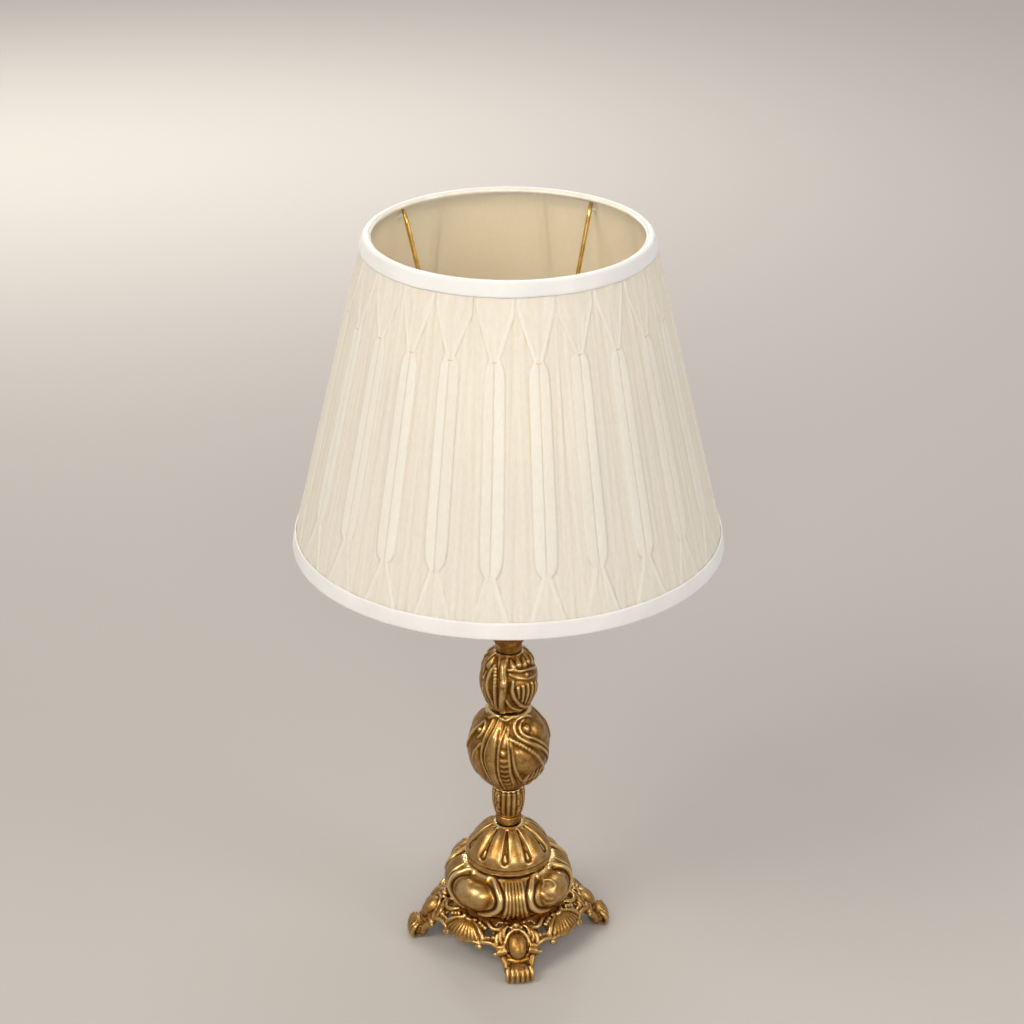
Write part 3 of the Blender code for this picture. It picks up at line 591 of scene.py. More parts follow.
@dataclass(frozen=True)
class Cloth(Finish):
    """Woven cloth stretched over the frame, which lets some of the light through."""

    panel: str = "#F5F0E6"
    fold: str = "#FBF9F3"
    # crease: on the pleated cover, the painted shadow in creases and gather troughs; on the tape, its darker
    # random tone
    crease: str = "#E5D9C2"
    warp: int = 800  # threads round the shade
    pitch: float = 0.8  # between threads up the shade, in millimetres
    slub: float = 0.06
    through: float = 0.48
    depth: float = 0.07
    sheen: float = 0.25
    reads_relief: bool = True

    def shader(self, tree: bpy.types.NodeTree) -> bpy.types.NodeSocket:
        """A plain weave with slubs. The threads are about twice their real size, or none would show."""
        where = add_node(tree, "ShaderNodeTexCoord").outputs["Object"]
        axes = add_node(tree, "ShaderNodeSeparateXYZ", {0: where}).outputs
        turn = add_node(
            tree, "ShaderNodeMath", {0: axes["Y"], 1: axes["X"]}, operation="ARCTAN2"
        ).outputs[0]
        threads = []
        for source, rate in ((turn, float(self.warp)), (axes["Z"], 2 * math.pi / (self.pitch * MM))):
            phase = add_node(tree, "ShaderNodeMath", {0: source, 1: rate}, operation="MULTIPLY").outputs[0]
            threads.append(add_node(tree, "ShaderNodeMath", {0: phase}, operation="SINE").outputs[0])
        weave = add_node(
            tree, "ShaderNodeMath", {0: threads[0], 1: threads[1]}, operation="MULTIPLY"
        ).outputs[0]
        slubs = self.grain(tree, 1.1, (1, 1, 26), 2.0)
        cloud = self.grain(tree, 26.0, detail=2.0)
        if self.reads_relief:
            proud = add_node(tree, "ShaderNodeAttribute", attribute_name="proud").outputs["Fac"]
        else:
            proud = add_node(
                tree, "ShaderNodeMapRange", {"Value": cloud, "To Min": 0.3, "To Max": 0.9}
            ).outputs[0]
        # On the pleated cover low tones are painted shadow in the creases and between the folds, and the
        # gathers are painted lighter on their crests and darker in their troughs; the folds are lighter for
        # their double cloth.
        colour = ramp(tree, proud, ((0.0, self.crease), (0.28, self.panel), (0.85, self.fold)))
        tone = add_node(
            tree, "ShaderNodeMath", {0: slubs, 1: self.slub * 2}, operation="MULTIPLY"
        ).outputs[0]
        tone = add_node(
            tree, "ShaderNodeMath", {0: weave, 1: self.slub * 0.4, 2: tone}, operation="MULTIPLY_ADD"
        ).outputs[0]
        level = add_node(tree, "ShaderNodeMath", {0: tone, 1: 1.0 - self.slub}, operation="ADD").outputs[0]
        tinted = add_node(
            tree, "ShaderNodeVectorMath", {0: colour, "Scale": level}, operation="SCALE"
        ).outputs[0]
        height = add_node(
            tree, "ShaderNodeMath", {0: weave, 1: 0.5, 2: slubs}, operation="MULTIPLY_ADD"
        ).outputs[0]
        normal = self.bump(tree, height, self.depth, 0.7)
        inputs = {
            "Base Color": tinted,
            "Roughness": 0.85,
            "Sheen Weight": self.sheen,
            "Sheen Roughness": 0.4,
            "Normal": normal,
        }
        face = add_node(tree, "ShaderNodeBsdfPrincipled", inputs).outputs["BSDF"]
        glow = add_node(
            tree, "ShaderNodeBsdfTranslucent", {"Color": tinted, "Normal": normal}
        ).outputs["BSDF"]
        return add_node(
            tree, "ShaderNodeMixShader", {"Fac": self.through, 1: face, 2: glow}
        ).outputs["Shader"]


# The cast brass's hollows carry painted shade and its raised edges a painted highlight, over their real
# patina and rubbed gilt.
ANTIQUE = AgedBrass("gilt_cast_brass_rubbed_back_painted_light", Slot.ANTIQUE)
ANTIQUE_TURNED = AgedBrass("gilt_brass_turned_plain", Slot.ANTIQUE, reads_relief=False)
BRIGHT = TurnedMetal("brass_lathe_turned", Slot.BRIGHT)
ROD = TurnedMetal("brass_wire_drawn", Slot.BRIGHT, colour="#E2BE74", tint="#C0903F", lines=(1.0, 1.0, 60.0))
STEEL = TurnedMetal("steel_zinc_plated", Slot.STEEL, colour="#B9BABD", tint="#96989C", roughness=0.34)
NICKEL = TurnedMetal("brass_nickel_plated", Slot.NICKEL, colour="#CDC9C0", tint="#B4AFA4", roughness=0.24)
CERAMIC = Moulded("steatite_fired", Slot.CERAMIC, roughness=0.4, skin=0.03)
BLACK = Moulded("phenolic_moulded", Slot.BLACK, colour="#242322", tint="#191817", roughness=0.42)
ENAMEL = Moulded(
    "steel_wire_dip_painted", Slot.WIRE, colour="#EFE8D8", tint="#DDD2BA", roughness=0.38, coat=0.3
)
OPAL = OpalGlass("opal_glass_fire_polished", Slot.OPAL)
THREAD = Moulded(
    "sewing_thread_waxed", Slot.PLEATS, "#E6D2AC", "#D6BE92", roughness=0.7, skin=0.05, lumps=0.5
)
PLEATS = Cloth("cotton_voile_pleated", Slot.PLEATS)
LINING = Cloth(
    "lining_cloth_stretched",
    Slot.LINER,
    panel="#FEFDFB",
    fold="#FEFDFA",
    crease="#F8F2E4",
    slub=0.04,
    through=0.66,
    depth=0.04,
)
TAPE = Cloth(
    "cotton_tape_folded",
    Slot.TRIM,
    panel="#DCDAD7",
    fold="#EDEBE8",
    crease="#D9D2C8",
    slub=0.03,
    through=0.08,
    depth=0.09,
    reads_relief=False,
)


# ---------------------------------------------------------------- relief on turned castings


class Form(Enum):
    """The cross-section of a modelled stroke."""

    ROPE = "a soft half-round ridge along the path"
    PAD = "a low cushion with a soft shoulder"
    BAND = "a flat strap with rounded edges"
    BEADS = "a row of small balls along the path"
    GROOVE = "a narrow engraved line"
    COVE = "a wide scooped flute"


@dataclass(frozen=True)
class Stroke:
    """One modelled stroke of the ornament, repeated round the lamp.

    The path's points are (bearing in degrees, height in millimetres). The width is the half width in
    millimetres, one number or one for each point, and the rise is in millimetres.
    """

    form: Form
    path: Path
    width: Width
    rise: float
    pitch: float = 2.0
    every: float = QUARTER  # the stroke repeats at this angle round the lamp

    def sunk(self) -> bool:
        """Whether the stroke goes into the surface."""
        return self.form in (Form.GROOVE, Form.COVE)

    def section(self, far: Array, along: Array) -> Array:
        """The stroke's height.

        Args:
            far: distance from the path as a share of the half width.
            along: distance along the path, in millimetres.

        Returns:
            The height at each point, in millimetres, never negative.
        """
        near = np.clip(far, 0.0, 1.0)
        if self.form is Form.ROPE:
            return self.rise * (0.5 + 0.5 * np.cos(math.pi * near)) ** 0.75
        if self.form is Form.PAD:
            return self.rise * (1 - near**2) ** 1.2
        if self.form is Form.BAND:
            return self.rise * (1 - near**8) ** 0.5
        if self.form is Form.BEADS:
            step = np.abs((along / self.pitch + 0.5) % 1.0 - 0.5) * 2
            return self.rise * np.sqrt(np.clip(1 - near**2 - 0.8 * step**2, 0, 1))
        if self.form is Form.GROOVE:
            return self.rise * (1 - near**2) ** 2
        return self.rise * (1 - near**2) ** 0.8


@dataclass
class Ground:
    """Where each point of a turned surface lies: its bearing, its radius and its run up the outline."""

    bearing: Array
    radius: Array
    run: Array
    run_at: Callable[[Array], Array]

    def rise_of(self, stroke: Stroke) -> Array:
        """The stroke's height over every point of the surface."""
        path = np.array(flowing(stroke.path, 5) if len(stroke.path) > 2 else stroke.path, float)
        if len(path) == 1:
            path = np.repeat(path, 2, axis=0)
            path[1, 0] += 0.01
        widths = np.atleast_1d(np.array(stroke.width, float))
        share = np.linspace(0, 1, len(path))
        widths = np.interp(
            share, np.linspace(0, 1, len(widths)), widths
        ) if len(widths) > 1 else np.full(len(path), widths[0])
        runs = self.run_at(path[:, 1])
        middle = path[:, 0].mean()
        best = np.zeros(len(self.bearing))
        every = stroke.every
        folded = (self.bearing - middle + every / 2) % every - every / 2 + middle
        scale = np.radians(1.0) * self.radius
        for extra in (-every, 0.0, every) if np.ptp(path[:, 0]) > 0.6 * every else (0.0,):
            bearing = folded + extra
            travelled = 0.0
            for (a0, _), (a1, _), s0, s1, w0, w1 in zip(path, path[1:], runs, runs[1:], widths, widths[1:]):
                ax, bx = (bearing - a0) * scale, (a1 - a0) * scale
                ay, by = self.run - s0, s1 - s0
                length2 = bx**2 + by**2 + 1e-9
                t = np.clip((ax * bx + ay * by) / length2, 0, 1)
                gap = np.hypot(ax - t * bx, ay - t * by)
                width = w0 + (w1 - w0) * t
                length = float(np.sqrt(length2.mean()))
                best = np.maximum(
                    best, np.where(gap < width, stroke.section(gap / width, travelled + t * length), 0.0)
                )
                travelled += length
        return best


@dataclass
class Casting:
    """One cast piece of the stand: a turned body with modelled ornament.

    The outline is (radius, height) in millimetres above the piece's foot. Strokes are laid in layers, each
    on top of the one before.
    """

    node: str
    outline: tuple[Point, ...]
    layers: tuple[tuple[Stroke, ...], ...]
    steps: int
    spacing: float
    sink: float = 0.0  # how far the ground lies below the outline, in millimetres
    wander: float = 0.12  # how uneven the cast skin is, in millimetres
    rubbing: int = 3

    def build(self) -> bpy.types.Object:
        """Turns the body, models the ornament and dresses the piece."""
        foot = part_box(self.node)[0].z / MM
        outline = [(r, z + foot) for r, z in self.outline]
        outer = evenly([(r, z) for r, z in flowing(outline, 10)], self.spacing)
        shape = turned([*outer, (BORE, outer[-1][1]), (BORE, outer[0][1])], self.steps)
        mesh = meshed(self.node, shape)
        self.model(mesh, outer)
        mesh.shade_smooth()
        shade_hollows(mesh)
        piece = dressed(f"{self.node}_chased", mesh, "stand", ANTIQUE)
        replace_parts(piece, self.node)
        return piece

    def model(self, mesh: bpy.types.Mesh, outer: Sequence[Point]) -> None:
        """Raises and sinks the outer surface by the ornament's strokes."""
        line = np.array(outer)
        run = np.concatenate([[0.0], np.cumsum(np.linalg.norm(np.diff(line, axis=0), axis=1))])
        slope = np.gradient(line, run, axis=0)
        co = places(mesh)
        radius, height = np.hypot(co[:, 0], co[:, 1]) / MM, co[:, 2] / MM
        order = np.argsort(line[:, 1])
        expected = np.interp(height, line[order, 1], line[order, 0])
        near, clear, fade = 0.05, 0.02, 1.2
        skin = (np.abs(radius - expected) < near) & (radius > BORE + 0.5)
        skin &= (height > line[0, 1] + clear) & (height < line[-1, 1] - clear)
        at = np.flatnonzero(skin)
        bearing = np.degrees(np.arctan2(co[at, 0], -co[at, 1]))

        def run_at(z: Array) -> Array:
            """The run up the outline at each height, carried straight on past its ends."""
            beyond = np.minimum(z - line[0, 1], 0)
            return np.interp(z, line[:, 1], run) + beyond + np.maximum(z - line[-1, 1], 0)

        ground = Ground(bearing, radius[at], np.interp(height[at], line[:, 1], run), run_at)
        total = np.full(len(at), -self.sink)
        for layer in self.layers:
            raised, sunk = np.zeros(len(at)), np.zeros(len(at))
            for stroke in layer:
                if stroke.sunk():
                    sunk = np.maximum(sunk, ground.rise_of(stroke))
                else:
                    raised = np.maximum(raised, ground.rise_of(stroke))
            total += raised - sunk
        total += self.wander * np.array([rough(Vector(co[i]), 3.0, 4.0) for i in at])
        # The ornament dies away at the joints, so that each casting seats on the next.
        edge = np.minimum(ground.run, run[-1] - ground.run)
        total *= np.clip(edge / fade, 0, 1)
        out_r = np.interp(height[at], line[:, 1], slope[:, 1])
        out_z = -np.interp(height[at], line[:, 1], slope[:, 0])
        size = np.hypot(out_r, out_z)
        turn = np.radians(bearing)
        co[at, 0] += total * MM * out_r / size * np.sin(turn)
        co[at, 1] -= total * MM * out_r / size * np.cos(turn)
        co[at, 2] += total * MM * out_z / size
        put(mesh, co)
        rubbed(mesh, self.rubbing)


def rubbed(mesh: bpy.types.Mesh, passes: int) -> None:
    """Softens a mesh, as casting and polishing do, by a number of smoothing passes."""
    shape = bmesh.new()
    shape.from_mesh(mesh)
    for _ in range(passes):
        bmesh.ops.smooth_vert(
            shape, verts=shape.verts, factor=0.5, use_axis_x=True, use_axis_y=True, use_axis_z=True
        )
    shape.to_mesh(mesh)
    shape.free()


def pad(path: Path, width: Width, rise: float) -> Stroke:
    """A low cushion."""
    return Stroke(Form.PAD, path, width, rise)


def rope(path: Path, width: Width, rise: float) -> Stroke:
    """A soft ridge."""
    return Stroke(Form.ROPE, path, width, rise)


def groove(path: Path, width: Width, rise: float) -> Stroke:
    """An engraved line."""
    return Stroke(Form.GROOVE, path, width, rise)


def ropes(width: float, rise: float, *paths: Path) -> tuple[Stroke, ...]:
    """Several ropes of one size."""
    return tuple(rope(path, width, rise) for path in paths)


def repeated(every: float, *strokes: Stroke) -> tuple[Stroke, ...]:
    """The same strokes, repeated at another angle round the lamp."""
    return tuple(Stroke(s.form, s.path, s.width, s.rise, s.pitch, every) for s in strokes)


def mirrored(*strokes: Stroke) -> tuple[Stroke, ...]:
    """The strokes and their mirror images across the front foot's plane."""
    return strokes + tuple(
        Stroke(
            s.form, tuple((-a, z) for a, z in s.path), s.width, s.rise, s.pitch, s.every
        ) for s in strokes
    )


def ball_casting() -> Casting:
    """The melon-shaped knop: a strap of laddered bars between a smooth gore and a volute round an eye."""
    strap_left = (
        (-11, 184), (-17.5, 178), (-20.6, 171), (-21.2, 161), (-20.4, 149), (-17, 139.5), (-12, 129),
    )
    strap_right = ((-7, 184), (-8, 178), (-7.2, 171), (-5.6, 161), (-4, 150), (1, 139.5), (3, 129))
    panel_edge = ((-4, 177), (-1.5, 168), (1.5, 157), (11, 144.5), (24, 136), (44, 130.5))
    line_outer = ((-46, 186), (-48.5, 175.5), (-48, 164), (-44.5, 153), (-36, 141.5), (-27, 131))
    line_inner = ((-30, 188), (-39, 177), (-42, 165), (-39.6, 154), (-31.5, 142), (-22, 131))
    volute = (
        (58, 185.5), (44, 187.6), (29, 188), (12, 186.8), (5, 182.6), (9.5, 178), (22, 174), (40, 168),
        (55, 160.5), (76, 147.5), (86, 138),
    )
    inner_volute = (
        (34, 186.2), (21, 184.4), (17.5, 180.8), (24, 177.2), (39, 173.2), (54, 166.4), (70, 156.5),
        (84, 146),
    )
    beaded = ((-4, 177), (6, 174), (16, 171), (33, 163.5), (48, 153), (60, 144), (72, 136))
    leaves = tuple(
        pad(((a, z), (a + 5, z + dz)), (3, 1.1), 1.2)
        for a, z, dz in (
            (20, 141, 5), (29, 141.5, 5.5), (38, 142, 5), (47, 143, 5), (36, 135.5, 4), (50, 137, 4),
            (62, 138, 4),
        )
    )
    left_curl = ((-84, 160), (-79, 171), (-73, 178.5), (-65, 183), (-58, 181), (-57, 176), (-62, 172.5))
    left_line = ((-52, 170), (-60, 164), (-68, 152), (-72, 140))
    bars = ropes(
        1.25, 0.8,
        *(
            ((a - 4.6, z), (a, z - 0.8), (a + 4.6, z))
            for a, z in (
                (-13.2, 161.4), (-12.9, 156.8), (-12.3, 152.2), (-11.6, 147.6), (-10.3, 143.2), (-8.3, 139),
                (-6.3, 135), (-5, 131.6),
            )
        ),
    )
    return Casting(
        node="ball_casting",
        outline=(
            (10.9, -JOINT), (19.6, 6.6), (26.2, 16.5), (30.1, 33.7), (26.5, 48.8), (18.7, 59.4), (14.3, 66),
        ),
        layers=(
            repeated(
                HALF_TURN,
                pad(
                    ((-24, 188), (-29.5, 177), (-31.8, 164), (-30, 153), (-24, 141), (-17, 131)),
                    (2, 5, 6, 5.4, 4, 2.4), 1.5,
                ),
                pad(((8, 166), (16, 158), (28, 150)), (4, 8, 6), 1.2),
                pad(((70, 178), (62, 176), (52, 179)), (6, 8, 5), 1.2),
                pad(((56, 152), (72, 142)), (4, 6), 0.6),
                pad(((-58, 163), (-60, 152), (-54, 142)), (3, 7, 4), 1.1),
                pad(((-80, 172), (-82, 156), (-80, 142)), (4, 7, 4), 1),
            ),
            repeated(
                HALF_TURN,
                *ropes(1, 0.75, strap_left, strap_right),
                *ropes(1.15, 0.8, panel_edge, line_outer, line_inner),
                rope(volute, (1, 1.8, 2.2, 2.2, 2, 1.5), 1.6),
                rope(inner_volute, (0.8, 1.3, 1.5, 1.5, 1.2), 1),
                *bars,
                pad(((-14.2, 166.6),), 2.4, 1.5),
                pad(((-13.4, 172), (-10, 180)), (2.2, 1), 0.9),
                pad(((30.5, 181),), 3.4, 1.9),
                Stroke(Form.BEADS, beaded, 1.5, 1, 2.7),
                rope(left_curl, (1.2, 1.9, 2, 1.6, 1), 1.5),
                pad(((-66, 177.6),), 2.6, 1.5),
                *ropes(1.2, 0.9, left_line),
                *leaves,
                *ropes(
                    1.6, 1, ((-60, 186), (-40, 189), (-14, 187.2), (10, 189.4), (60, 188.4), (100, 187.6))
                ),
            ),
            repeated(
                HALF_TURN,
                groove(((-24, 181), (-24.2, 163), (-23.2, 149), (-19.5, 139), (-14.5, 130)), 1.1, 0.8),
                groove(((-36, 184), (-45.2, 165), (-42, 153), (-34, 141.5), (-25, 131.5)), 0.9, 0.7),
                groove(((-2.8, 170), (-2.2, 162), (-0.6, 152), (6, 142), (10, 136)), 1, 0.8),
                groove(((26, 184.8), (24.6, 180.9), (28, 177.6), (34, 177.4)), 0.8, 0.8),
                groove(((15, 176.8), (32, 171), (48, 163), (64, 152)), 0.9, 0.7),
            ),
        ),
        steps=400,
        spacing=0.48,
        sink=0.6,
        rubbing=7,
    )


def vase_casting() -> Casting:
    """The upper knop: a smooth strap with a boss, between a fluted shell and beaded scrolls."""
    strap = ((-30, 238), (-22.5, 232.5), (-20, 226), (-17, 218.5), (-19, 209.5), (-23.5, 196.5), (-22, 189))
    swag = ((-8, 228.5), (8, 228), (22.7, 226.8), (40, 226.2), (55, 225), (78, 222.5))
    second = ((-4, 225.5), (10, 223), (24.3, 221.2), (38, 220), (52, 219.2), (72, 218.4))
    rim = ((3, 221), (1, 214), (7, 206.5), (20, 200), (42, 195.4), (78, 192.4))
    flutes = (
        ((15, 206), (12, 215)),
        ((24, 202.5), (22.5, 216.2)),
        ((34, 200), (33.5, 216.4)),
        ((45, 198), (46, 215.4)),
        ((56, 196.5), (59, 213.6)),
        ((66, 195.5), (71, 211)),
    )
    leaves = tuple(
        pad(((a, z), (a + da, z + dz)), (3, 1), 1.5)
        for a, z, da, dz in (
            (6, 230, -6, 4), (22, 231, 0, 4), (38, 230, 6, 4), (54, 230.5, 2, 4), (70, 228, 8, 4),
            (-62, 228, 4, 6), (-80, 226, 0, 6),
        )
    )
    return Casting(
        node="vase_casting",
        outline=((14.6, -JOINT), (19.4, 12.2), (20.8, 24.6), (16.4, 38.6), (9.1, 45.5)),
        layers=(
            repeated(
                HALF_TURN,
                pad(((12, 217), (36, 211), (58, 206)), (4, 8, 7), 0.9),
                pad(((-50, 226), (-60, 214), (-62, 202)), (3, 6, 4), 1),
                pad(((-84, 218), (-84, 204)), (5, 4), 0.8),
            ),
            repeated(
                HALF_TURN,
                Stroke(Form.BAND, strap, (4.4, 3.6, 3.2, 3.8, 3.1, 2.8, 1.8), 1.5),
                *ropes(1.5, 1.4, swag),
                *ropes(1.1, 0.8, second),
                rope(rim, (1.2, 2.2, 2.5, 2.3, 1.8), 1.9),
                *ropes(1.75, 1.35, *flutes),
                *ropes(
                    1.5, 1.2, ((-12, 205), (2, 197.5), (30, 192.6)),
                    ((-44, 230), (-52, 219), (-50, 208), (-44, 197)),
                ),
                Stroke(Form.BEADS, ((-40, 228), (-35.5, 217), (-36, 204), (-38, 195)), 1.6, 1.3, 2.5),
                rope(
                    ((-70, 236), (-74, 228), (-70, 220), (-64, 219), (-63, 224)), (1.2, 1.7, 1.7, 1.2, 0.7),
                    1.3,
                ),
                rope(((-76, 196), (-72, 206), (-66, 211)), (1.2, 1.5, 0.8), 1),
                *leaves,
                pad(((36, 223),), 2.4, 1.2),
            ),
            repeated(
                HALF_TURN,
                pad(((-16.8, 219),), 3.2, 1.5),
                rope(((-24, 233), (-20.3, 226), (-17.2, 220)), (2.4, 2, 1.2), 0.8),
                rope(((-18.6, 213.5), (-21, 205), (-23.2, 194)), (1, 1.5, 1.2), 0.6),
                groove(
                    ((-27.5, 234), (-27.4, 226), (-24.2, 218.5), (-26.4, 209.5), (-30.5, 197)), 1.1, 0.9
                ),
                groove(((-11, 233), (-10.6, 226), (-8.6, 218.5), (-12, 209.5), (-16.6, 196)), 1.1, 0.9),
            ),
        ),
        steps=300,
        spacing=0.42,
        sink=0.5,
        rubbing=7,
    )


def stem_casting() -> Casting:
    """The stem: four broad flutes to a side, and a leaf climbing over each corner."""
    foot, top, _ = extent("stem_casting")
    tall = top - foot
    flutes = tuple(
        rope(
            ((a, foot + 2.2), (a, foot + 0.4 * tall), (a + 1.5, foot + 0.75 * tall), (a, top - 1.6)),
            (1.7, 2.1, 2.3, 2), 1.1,
        )
        for a in (-27, -7, 14, 35)
    )
    leaf = tuple(
        pad(((a, foot + s * tall), (a + da, foot + (s + 0.16) * tall)), (2.6, 1), 1.3)
        for a, da, s in ((-53, 0, 0.22), (-48, 3, 0.38), (-57, -3, 0.50), (-48, 2, 0.62), (-56, -2, 0.74))
    )
    return Casting(
        node="stem_casting",
        outline=((8.8, -JOINT), (9.9, 2.2), (11.1, 8), (11.6, 16), (10.9, 24.5)),
        layers=((*flutes, *leaf), (groove(tuple((a, top - 2.4) for a in (-45, -15, 15, 45)), 0.9, 0.5),)),
        steps=220,
        spacing=0.4,
        sink=0.5,
    )


def dome_casting() -> Casting:
    """The bell-shaped cap of the base, scooped with ten drop-shaped flutes."""
    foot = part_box("dome_casting")[0].z / MM
    every = 36
    first = -11.7
    between = first + every / 2
    return Casting(
        node="dome_casting",
        outline=(
            (29.2, 0), (31.3, 0.7), (31.7, 2.5), (31.6, 4.5), (31.1, 7.1), (27.9, 13.6), (19.1, 23.6),
            (9.2, 29.5),
        ),
        layers=(
            repeated(
                every,
                pad(((between, foot + 27), (between, foot + 20), (between, foot + 12)), (2.4, 5, 7.6), 0.8),
            ),
            repeated(
                every,
                Stroke(
                    Form.COVE, ((first, foot + 27.6), (first, foot + 20), (first, foot + 12)),
                    (1, 2.3, 3.7), 1.6,
                ),
            ),
            repeated(every, pad(((first, foot + 12), (first, foot + 15.5)), (2.2, 1), 0.9)),
            (groove(tuple((a, foot + 4.9) for a in (-45, -15, 15, 45)), 0.8, 0.3),),
        ),
        steps=360,
        spacing=0.5,
        sink=0.2,
        wander=0.06,
    )


def drum_casting() -> Casting:
    """The bombe base: smooth bosses held in leaf scrolls over each corner, fine reeds over each foot."""
    frame_outer = ((34, 63), (24, 61.8), (16.5, 57.5), (13.8, 51), (16.5, 44), (25, 38.6), (36, 36.6))
    reeds = tuple(
        rope(((a * 1.15, 62), (a * 1, 54), (a * 1.1, 44), (a * 1.5, 35.6)), (1.25, 1.4, 1.6, 2), 1.4)
        for a in (-8, -4.8, -1.6, 1.6, 4.8, 8)
    )
    curls = (
        rope(((30, 57.5), (35, 59.6), (41, 58.6), (42, 55.2), (38, 54)), (0.7, 1.3, 1.5, 1.2, 0.6), 0.8),
        rope(((27, 54.5), (29.5, 50), (35, 48.4)), (0.8, 1.3, 0.6), 0.7),
        rope(((26, 49.5), (29, 45.8), (35, 44.6)), (0.7, 1.2, 0.6), 0.6),
        pad(((60, 58), (65, 54)), (2.2, 1.2), 0.9),
        pad(((55, 43.5), (60, 42.6)), (2.4, 1.4), 0.9),
    )
    return Casting(
        node="drum_casting",
        outline=((40, 0), (45.4, 4.8), (47.5, 12.6), (42.9, 23.4), (31, 30)),
        layers=(
            (pad(((41, 51), (49, 51)), 13, 3.8), *reeds),
            (
                *mirrored(
                    rope(frame_outer, (2, 2.9, 3.6, 3.8, 3.6, 3, 2.2), 2.2),
                    pad(((32.5, 62.4),), 2.8, 1.4),
                ),
                *repeated(HALF_TURN, *curls),
                pad(((45, 38),), (4.2,), 1.6),
            ),
            (
                *mirrored(
                    groove(((20, 62.6), (12.4, 58), (10.6, 51), (12.6, 44), (20, 37.8)), 1.2, 1.1),
                    groove(((31, 60.6), (22.2, 58), (18.2, 51), (21, 45), (30, 40.6)), 1.2, 1.1),
                    groove(((20, 60.6), (15, 56.8), (12.4, 51), (15, 44.8), (21, 40.6)), 0.7, 0.5),
                ),
            ),
        ),
        steps=500,
        spacing=0.58,
        sink=1.0,
        rubbing=6,
    )


# ---------------------------------------------------------------- pierced foot


@dataclass
class Wax:
    """A sculptor's wax: bars, lumps and plates pressed together and cast as one piece."""

    parts: list[bpy.types.Mesh] = field(default_factory=list)

    def bar(
        self, path: Sequence[tuple[float, float, float]], radii: Sequence[float], per_span: int = 6
    ) -> None:
        """Presses on a tapered bar.

        Args:
            path: (bearing, radius, height) points, in degrees and millimetres.
            radii: its radius along the path, in millimetres, evenly spread over it.
            per_span: how finely it is drawn.
        """
        line = [polar(r, a, z) for a, r, z in flowing(path, per_span)]
        share = np.linspace(0, 1, len(line))
        sizes = np.interp(share, np.linspace(0, 1, len(radii)), radii) * MM
        self.parts.append(swept([tuple(p) for p in line], list(sizes), 10))

    def lump(
        self, bearing: float, radius: float, height: float, size: Sequence[float], tip: float = 0.0
    ) -> None:
        """Presses on an egg-shaped lump.

        Args:
            bearing: its bearing.
            radius: the radius of its centre.
            height: the height of its centre.
            size: its half sizes across, outwards and up, in millimetres.
            tip: how far its top leans outwards, in degrees.
        """
        shape = bmesh.new()
        bmesh.ops.create_icosphere(shape, subdivisions=3, radius=1.0)
        place = Matrix.Translation(polar(radius, bearing, height))
        place = place @ Matrix.Rotation(
            math.radians(bearing), 4, "Z"
        ) @ Matrix.Rotation(math.radians(tip), 4, "X")
        place = place @ Matrix.Diagonal((*(s * MM for s in size), 1.0))
        bmesh.ops.transform(shape, matrix=place, verts=shape.verts)
        self.parts.append(meshed("lump", shape))

    def plate(
        self,
        first: float,
        last: float,
        columns: int,
        outline: Callable[[float, float], tuple[float, float]],
        holes: Sequence[tuple[float, float, float, float]],
        thickness: float,
    ) -> None:
        """Presses on a pierced plate, a strip of the skirt between two bearings.

        Args:
            first: the bearing where it starts.
            last: the bearing where it ends.
            columns: how many strips it has round the lamp.
            outline: gives radius and height at a bearing and a share of the way down.
            holes: (bearing, share down, half width in degrees, half height as a share) of each opening.
            thickness: its wall, in millimetres.
        """
        rows = 26
        shape = bmesh.new()
        bmesh.ops.create_grid(shape, x_segments=columns, y_segments=rows, size=1.0)
        gone = []
        for face in shape.faces:
            middle = face.calc_center_median()
            bearing, share = first + (last - first) * (middle.x + 1) / 2, (middle.y + 1) / 2
            if any(((bearing - a) / da) ** 2 + ((share - u) / du) ** 2 < 1 for a, u, da, du in holes):
                gone.append(face)
        for corner in shape.verts:
            bearing, share = first + (last - first) * (corner.co.x + 1) / 2, (corner.co.y + 1) / 2
            radius, height = outline(bearing, share)
            corner.co = polar(radius, bearing, height)
        bmesh.ops.delete(shape, geom=gone, context="FACES")
        bmesh.ops.solidify(shape, geom=shape.faces[:], thickness=thickness * MM)
        bmesh.ops.recalc_face_normals(shape, faces=shape.faces)
        self.parts.append(meshed("plate", shape))

    def cast(self, voxel: float, smoothing: int) -> bpy.types.Mesh:
        """Fuses the parts into one closed skin.

        Args:
            voxel: the size of the finest detail kept, in millimetres.
            smoothing: how many smoothing passes soften it, as casting and rubbing do.

        Returns:
            The fused mesh.
        """
        shape = bmesh.new()
        for part in self.parts:
            shape.from_mesh(part)
            bpy.data.meshes.remove(part)
        holder = bpy.data.objects.new("wax", meshed("wax", shape))
        bpy.context.scene.collection.objects.link(holder)
        fuse = holder.modifiers.new("fuse", "REMESH")
        fuse.mode = "VOXEL"
        fuse.voxel_size = voxel * MM
        rub = holder.modifiers.new("rub", "SMOOTH")
        rub.iterations = smoothing
        rub.factor = 0.5
        graph = bpy.context.evaluated_depsgraph_get()
        cast = bpy.data.meshes.new_from_object(holder.evaluated_get(graph))
        bpy.data.objects.remove(holder)
        return cast


